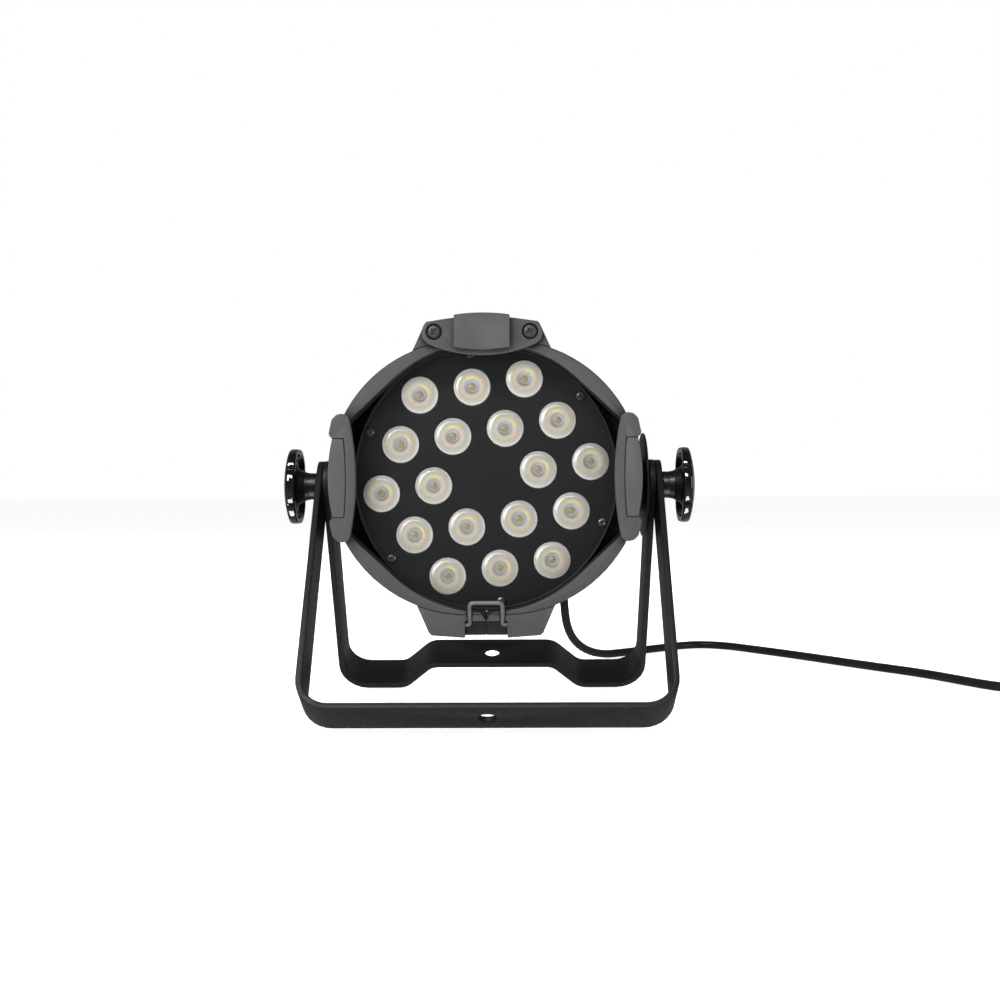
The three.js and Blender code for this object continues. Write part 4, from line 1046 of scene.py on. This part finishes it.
# ------------ what is inside, and the heat sink
for node, material in (
    ("led_board", BOARD_WHITE), ("driver_board", BOARD_GREEN), ("stud_left", STUD), ("stud_right", STUD)
):
    materials = frame["nodes"][node].data.materials
    materials.clear()
    materials.append(material)
rounded_node("finned_can", "heat_sink", CAST, "cast_black", 0.45, 2, 40)

# ------------ rear cover and its fittings
BACK_MM = 62.0
COVER_SCREW_CIRCLE_MM = 57
rounded_node("rear_shell", "rear_cover", REAR, "rear_plastic", 0.5, 2, 40)
for k, (x, z) in enumerate(circle(COVER_SCREW_CIRCLE_MM, HEAD_X_MM, HEAD_RISE_MM, 4, 45)):
    put_screw(f"rear_cover_screw_{k + 1}", SMALL_SCREW_HEAD, (x, BACK_MM, z), 20 + 31 * k, backwards=True)


DIGITS = 4
DIGIT_MM = Sizes(pitch=7.6, width=4.2, height=8.0, stroke=1.0, gap=0.25)


def segment_bar(start, end):
    """The outline of one segment of a digit, pointed at both ends."""
    start, end = Vector(start), Vector(end)
    along = (end - start).normalized() * DIGIT_MM.stroke / 2
    aside = Vector((-along.y, along.x))
    near, far = start + along, end - along
    return [start, near + aside, far + aside, end, far - aside, near - aside]


def make_display():
    """A smoked window with four unlit seven-segment digits behind it."""
    rounded_node("smoked_pane", "display_window", WINDOW, "display_glass", 0.3)
    middle = centre_mm("display_window")
    face = (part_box("display_window")[1].y - PIVOT.y) / MM
    half_width, half_height, gap = DIGIT_MM.width / 2, DIGIT_MM.height / 2, DIGIT_MM.gap
    bars = []
    for digit in range(DIGITS):
        x, z = middle.x + (digit - (DIGITS - 1) / 2) * DIGIT_MM.pitch, middle.z
        for level in (-half_height, 0, half_height):
            bars.append(segment_bar((x - half_width + gap, z + level), (x + half_width - gap, z + level)))
        for side in (x - half_width, x + half_width):
            for low in (z - half_height, z):
                bars.append(segment_bar((side, low + gap), (side, low + half_height - gap)))
    pieces = [plate("segment", bar, face - 0.2, face + 0.04) for bar in bars]
    place(joined("display_segments", pieces), SEGMENT, "display_glass")


make_display()
for i in range(1, 5):
    rounded_node(f"menu_button_{i}", f"button_{i}", BUTTON, "button_grey", 0.35, 3, body=f"button_{i}")


def behind(profile):
    """A profile whose depths count from the rear cover's face."""
    return [(radius, BACK_MM + depth) for radius, depth in profile]


def pin(spot, radius, base, tip, easing, segments=20):
    outline = eased([(0, base), (radius, base), (radius, tip), (0, tip)], easing, 4)
    return turned("pin", outline, segments, spot, material=PIN_METAL)


SOCKET_MM = Sizes(circle=4.2, pin=1.15, hole=1.3, flange=2.3, screw_x=10.2, screw_z=12.2)
TAB_MM = (-3, 3), (2, 5.4), (10, 14.6)  # across, depth and height


def make_socket(word, male):
    """A three-pole data socket on a flange with two screws. A female one has a latch's tab."""
    m = SOCKET_MM
    node = f"data_{word}_socket"
    middle = centre_mm(node)
    body = round_edges(copy_of("body", node), 0.35, 2)
    body.data.materials.append(BLACK)
    parts = [body]
    for spot in circle(m.circle, middle.x, middle.z, 3, -90 if male else 90):
        if male:
            parts.append(pin(spot, m.pin, BACK_MM - 12, BACK_MM - 0.5, m.pin * 0.7))
        else:
            hole = m.hole
            collar = [(hole, 3.6), (hole, 4.15), (1.75, 4.15), (1.9, 3.9), (1.9, 3.6)]
            parts.append(turned("collar", behind(collar), 20, spot, material=PIN_METAL))
            cut(body, turned("hole", behind([(0, -4), (hole, -4), (hole, 9), (0, 9)]), 20, spot))
    if not male:
        tab = round_edges(block("tab", *TAB_MM, (middle.x, BACK_MM, middle.z)), 0.7, 3)
        tab.data.materials.append(BLACK)
        parts.append(tab)
    socket = joined(f"data_{word}_connector", parts)
    place(socket, None, "socket_black", node)
    for k, side in enumerate((-1, 1)):
        spot = (middle.x + side * m.screw_x, BACK_MM + m.flange, middle.z - side * m.screw_z)
        put_screw(f"data_{word}_screw_{k + 1}", SMALL_SCREW_HEAD, spot, 15 + 50 * k, backwards=True)
    return socket


make_socket("in", True)
make_socket("out", False)


FUSE_FLUTES, FLUTE_CIRCLE_MM = 12, 6.7
FUSE_SLOT_MM = (-4.6, 4.6), (3.3, 6), (-0.65, 0.65)


def make_fuse_holder():
    """A fluted cap with a coin slot."""
    middle = centre_mm("fuse_holder")
    cap = turned("fuse_cap", eased(behind([
        (0, -12), (6, -12), (6, 0.3), (7.4, 0.3), (7.4, 1.3), (6.5, 1.5), (6.3, 4.4), (0, 4.4),
    ]), 0.5, 3), 72, (middle.x, middle.z))
    flute = behind([(0, 1.7), (0.7, 1.7), (0.7, 6), (0, 6)])
    for spot in circle(FLUTE_CIRCLE_MM, middle.x, middle.z, FUSE_FLUTES):
        cut(cap, turned("flute", flute, 12, spot))
    cut(cap, block("slot", *FUSE_SLOT_MM, (middle.x, BACK_MM, middle.z)))
    return place(round_edges(cap, 0.12, 1, 50), BLACK, "socket_black", "fuse_holder")


make_fuse_holder()
rounded_node("safety_loop", "safety_eye", ZINC, "plated_steel", 0.6, 3, 40)
GLAND_RIBS = 7


def make_gland():
    """A hexagonal nut and a ribbed sleeve that thins towards the cord."""
    middle = centre_mm("cord_gland")
    nut = plate("nut", circle(9.4, middle.x, middle.z, 6), BACK_MM + 0.3, BACK_MM + 5)
    round_edges(nut, 0.7, 3)
    start, end = BACK_MM + 4.5, (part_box("cord_gland")[1].y - PIVOT.y) / MM
    profile = [(0, BACK_MM - 6), (6, BACK_MM - 6), (6, start), (7.4, start), (7.4, start + 1.6)]
    ribbed = end - start - 3
    step = ribbed / GLAND_RIBS
    for k in range(GLAND_RIBS):
        share = k / GLAND_RIBS
        y, top, dip = start + 2 + ribbed * share, 6.7 - 2.6 * share, 5.9 - 2.6 * share
        profile += [(top, y), (top, y + step * 0.55), (dip, y + step * 0.62), (dip, y + step * 0.94)]
    profile += [(4.0, end - 0.6), (3.6, end), (0, end)]
    sleeve = turned("sleeve", eased(profile, 0.25, 2), 40, (middle.x, middle.z), smooth_angle=60)
    return place(joined("strain_relief", [sleeve, nut]), RUBBER, "cord_rubber", "cord_gland")


gland = make_gland()


# ------------ plug and the coil's tie
PLUG_RIBS = 6
CONTACT_MM = 2.4, 57, 79, 1.5  # radius, base, tip and easing
CONTACT_OFF_AXIS_MM = 9.5
GRIP_MM = Sizes(start=33, slope=4, end=46.5, end_slope=3, half=14.2, sunk=2.6)
GRIP_FLATNESS = 0.85
TIE_MM = Sizes(half=6.9, reach=5.0, edge=0.3, thick=0.75, corner=2.6)
TIE_ANGLE = 70  # degrees round the coil


def flatten_grips(body):
    """Presses a flat into the plug's body on each side, for the fingers."""
    m = GRIP_MM
    for vertex in body.data.vertices:
        y = vertex.co.y / MM
        deep = min(max((y - m.start) / m.slope, 0), 1) * min(max((m.end - y) / m.end_slope, 0), 1)
        limit = (m.half - m.sunk * deep) * MM
        over = abs(vertex.co.z) - limit
        if deep > 0 and over > 0:
            vertex.co.z = math.copysign(limit + over * (1 - GRIP_FLATNESS * deep), vertex.co.z)


def make_plug():
    """A round two-pin plug on its side, with grip flats, and the sleeve that the cord comes out of."""
    low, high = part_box("plug")
    radius = (high.x - low.x) / 2 / MM
    profile = [(0, 0), (3.9, 0), (4.3, 0.8)]
    for k in range(PLUG_RIBS):
        y, rib = 3 + 4.2 * k, 4.6 + 0.42 * k
        profile += [(rib + 0.7, y), (rib + 0.8, y + 2.4), (rib, y + 2.8), (rib + 0.1, y + 3.9)]
    profile += [(7.4, 29.5), (9.5, 31.5), (13.4, 35), (16.8, 41.5), (17.3, 44.5), (radius, 47)]
    profile += [(radius, 58.6), (radius - 1.2, 60), (14.5, 60), (14.2, 58.8), (0, 58.8)]
    body = turned("plug_body", eased(profile, 0.6, 3), 72, smooth_angle=50, material=RUBBER)
    parts = [body]
    for side in (-1, 1):
        parts.append(pin((side * CONTACT_OFF_AXIS_MM, 0), *CONTACT_MM, 28))
    for part in parts:
        part.data.transform(Matrix.Translation(-PIVOT))
    flatten_grips(body)
    plug = joined("mains_plug", parts)
    plug.data.transform(Matrix.Translation(((low.x + high.x) / 2, low.y, (low.z + high.z) / 2)))
    return place(plug, None, "cord_rubber", "plug", body="stand")


def make_tie():
    """A band of hook-and-loop tape round the coil's turns."""
    m = TIE_MM
    half, reach, inset = m.half, m.reach, m.reach - m.edge
    angle = math.radians(TIE_ANGLE)
    radial = Vector((math.cos(angle), math.sin(angle), 0))
    foot = Vector((COIL_MM.x, COIL_MM.y, FLOOR_MM)) + radial * (COIL_MM.inner + COIL_MM.outer) / 2
    top = 2 * half - 0.1
    outline = eased([(-half, 0.4), (half, 0.4), (half, top), (-half, top)], m.corner, 5, True)
    mesh = bmesh.new()
    rings = []
    for grow, along in ((0, -reach), (m.thick, -inset), (m.thick, inset), (0, reach)):
        ring = []
        for x, z in outline:
            out = Vector((x, z - half)).normalized() * grow
            point = foot + radial * (x + out.x) + coil_tangent(TIE_ANGLE) * along
            ring.append(mesh.verts.new(at(point.x, point.y, point.z + max(z + out.y, 0.1))))
        rings.append(ring)
    bridge(mesh, rings + rings[:1])
    return place(link("cord_tie", mesh, 50), TAPE, "cord_rubber", body="stand")


plug = make_plug()
tie = make_tie()
declare_cord()


# ------------ floor, lights and sky
WHITE = (1, 1, 1, 1)
FLOOR_SIZE = 12  # metres from its middle to each edge
SKY = Sizes(seen=1.0, diffuse=0.13, reflected=0.035, backdrop=0.16, table=0.1)


def make_floor():
    mesh = bmesh.new()
    bmesh.ops.create_grid(mesh, x_segments=1, y_segments=1, size=FLOOR_SIZE)
    surface = Surface("floor_paper", (0.9, 0.9, 0.9), 0.8, Emission_Color=WHITE, Emission_Strength=0.84)
    floor = link("floor", mesh, material=surface.mottle(300, (0.88, 0.88, 0.88)).material)
    floor.visible_glossy = False


def make_light(name, place_m, target, size, power, height=None, diffuse=True, glossy=True, only_on=None):
    """An area light, which may be kept out of reflections or show in the pieces of only_on alone."""
    data = bpy.data.lights.new(name, "AREA")
    data.energy = power
    data.size = size
    if height:
        data.shape = "RECTANGLE"
        data.size_y = height
    light = add_object(name, data)
    light.location = place_m
    light.rotation_euler = (Vector(target) - Vector(place_m)).to_track_quat("-Z", "Y").to_euler()
    light.visible_diffuse = diffuse
    light.visible_glossy = glossy
    if only_on:
        group = bpy.data.collections.new(name + "_pieces")
        for piece in only_on:
            group.objects.link(piece)
        light.light_linking.receiver_collection = group


def make_sky():
    """White behind the object and a soft grey as a light. In reflections it is a studio: dark in
    front, with a white backdrop behind the object and a pale table under it."""
    world = bpy.data.worlds.new("studio")
    bpy.context.scene.world = world
    world.use_nodes = True
    sky = Graph(world.node_tree)
    towards = sky.axes("Generated")
    backdrop = sky.ramp(towards["Y"], 0.3, 0.9, 0, SKY.backdrop)
    table = sky.ramp(towards["Z"], 0.0, -0.5, 0, SKY.table)
    studio = sky.math("ADD", sky.math("ADD", backdrop, table), SKY.reflected)
    rays = sky.node("LightPath").outputs
    shader = sky.nodes["Background"]
    shader.inputs["Color"].default_value = WHITE
    shader.inputs["Strength"].default_value = SKY.diffuse
    for strength, ray in ((studio, "Is Glossy Ray"), (SKY.seen, "Is Camera Ray")):
        other = sky.node("Background")
        other.inputs["Color"].default_value = WHITE
        sky.feed(other.inputs["Strength"], strength)
        mix = sky.node("MixShader")
        for socket, source in zip(mix.inputs, (rays[ray], shader.outputs[0], other.outputs[0])):
            sky.links.new(source, socket)
        shader = mix
    sky.links.new(shader.outputs[0], sky.nodes["World Output"].inputs["Surface"])


make_floor()
middle = PIVOT + Vector((0, 0, -0.02))
make_light("key", (-0.6, -1.6, 0.45), middle, 0.8, 9.5, glossy=False)
make_light("fill", (0.9, -1.4, 0.1), middle, 0.8, 3, glossy=False)
make_light("top", (0, 0.2, 2.2), (0, 0.1, 0), 2.4, 9, glossy=False)
make_light("softbox_left", (-1.0, -1.15, 1.0), middle, 0.5, 8, diffuse=False)
make_light("softbox_above", (-0.3, -1.15, 1.35), middle, 1.5, 12, 0.13, diffuse=False)
make_light("strip_right", (1.5, -0.5, 0.3), middle, 0.15, 2, 0.8)
make_light("back_left", (-1.3, 1.3, 0.9), middle, 0.6, 24, glossy=False)
make_light("back_right", (1.3, 1.3, 0.9), middle, 0.6, 24, glossy=False)
knobs = [bpy.data.objects[f"star_knob_{word}"] for word in ("left", "right")]
optics = [bpy.data.objects[f"lens_optic_{i}"] for i in range(1, LENS_COUNT + 1)]
make_light("knob_table", (-0.1, -0.42, -1.1), middle, 1.4, 19, 0.7, diffuse=False, only_on=knobs)
make_light("knob_above", (-0.3, -1.0, 1.1), middle, 1.4, 11, 0.3, diffuse=False, only_on=knobs)
make_light("lens_glow", (-1.25, -1.0, 0.6), middle, 0.9, 24, diffuse=False, only_on=optics)
make_sky()
bpy.context.scene.view_settings.view_transform = "Standard"
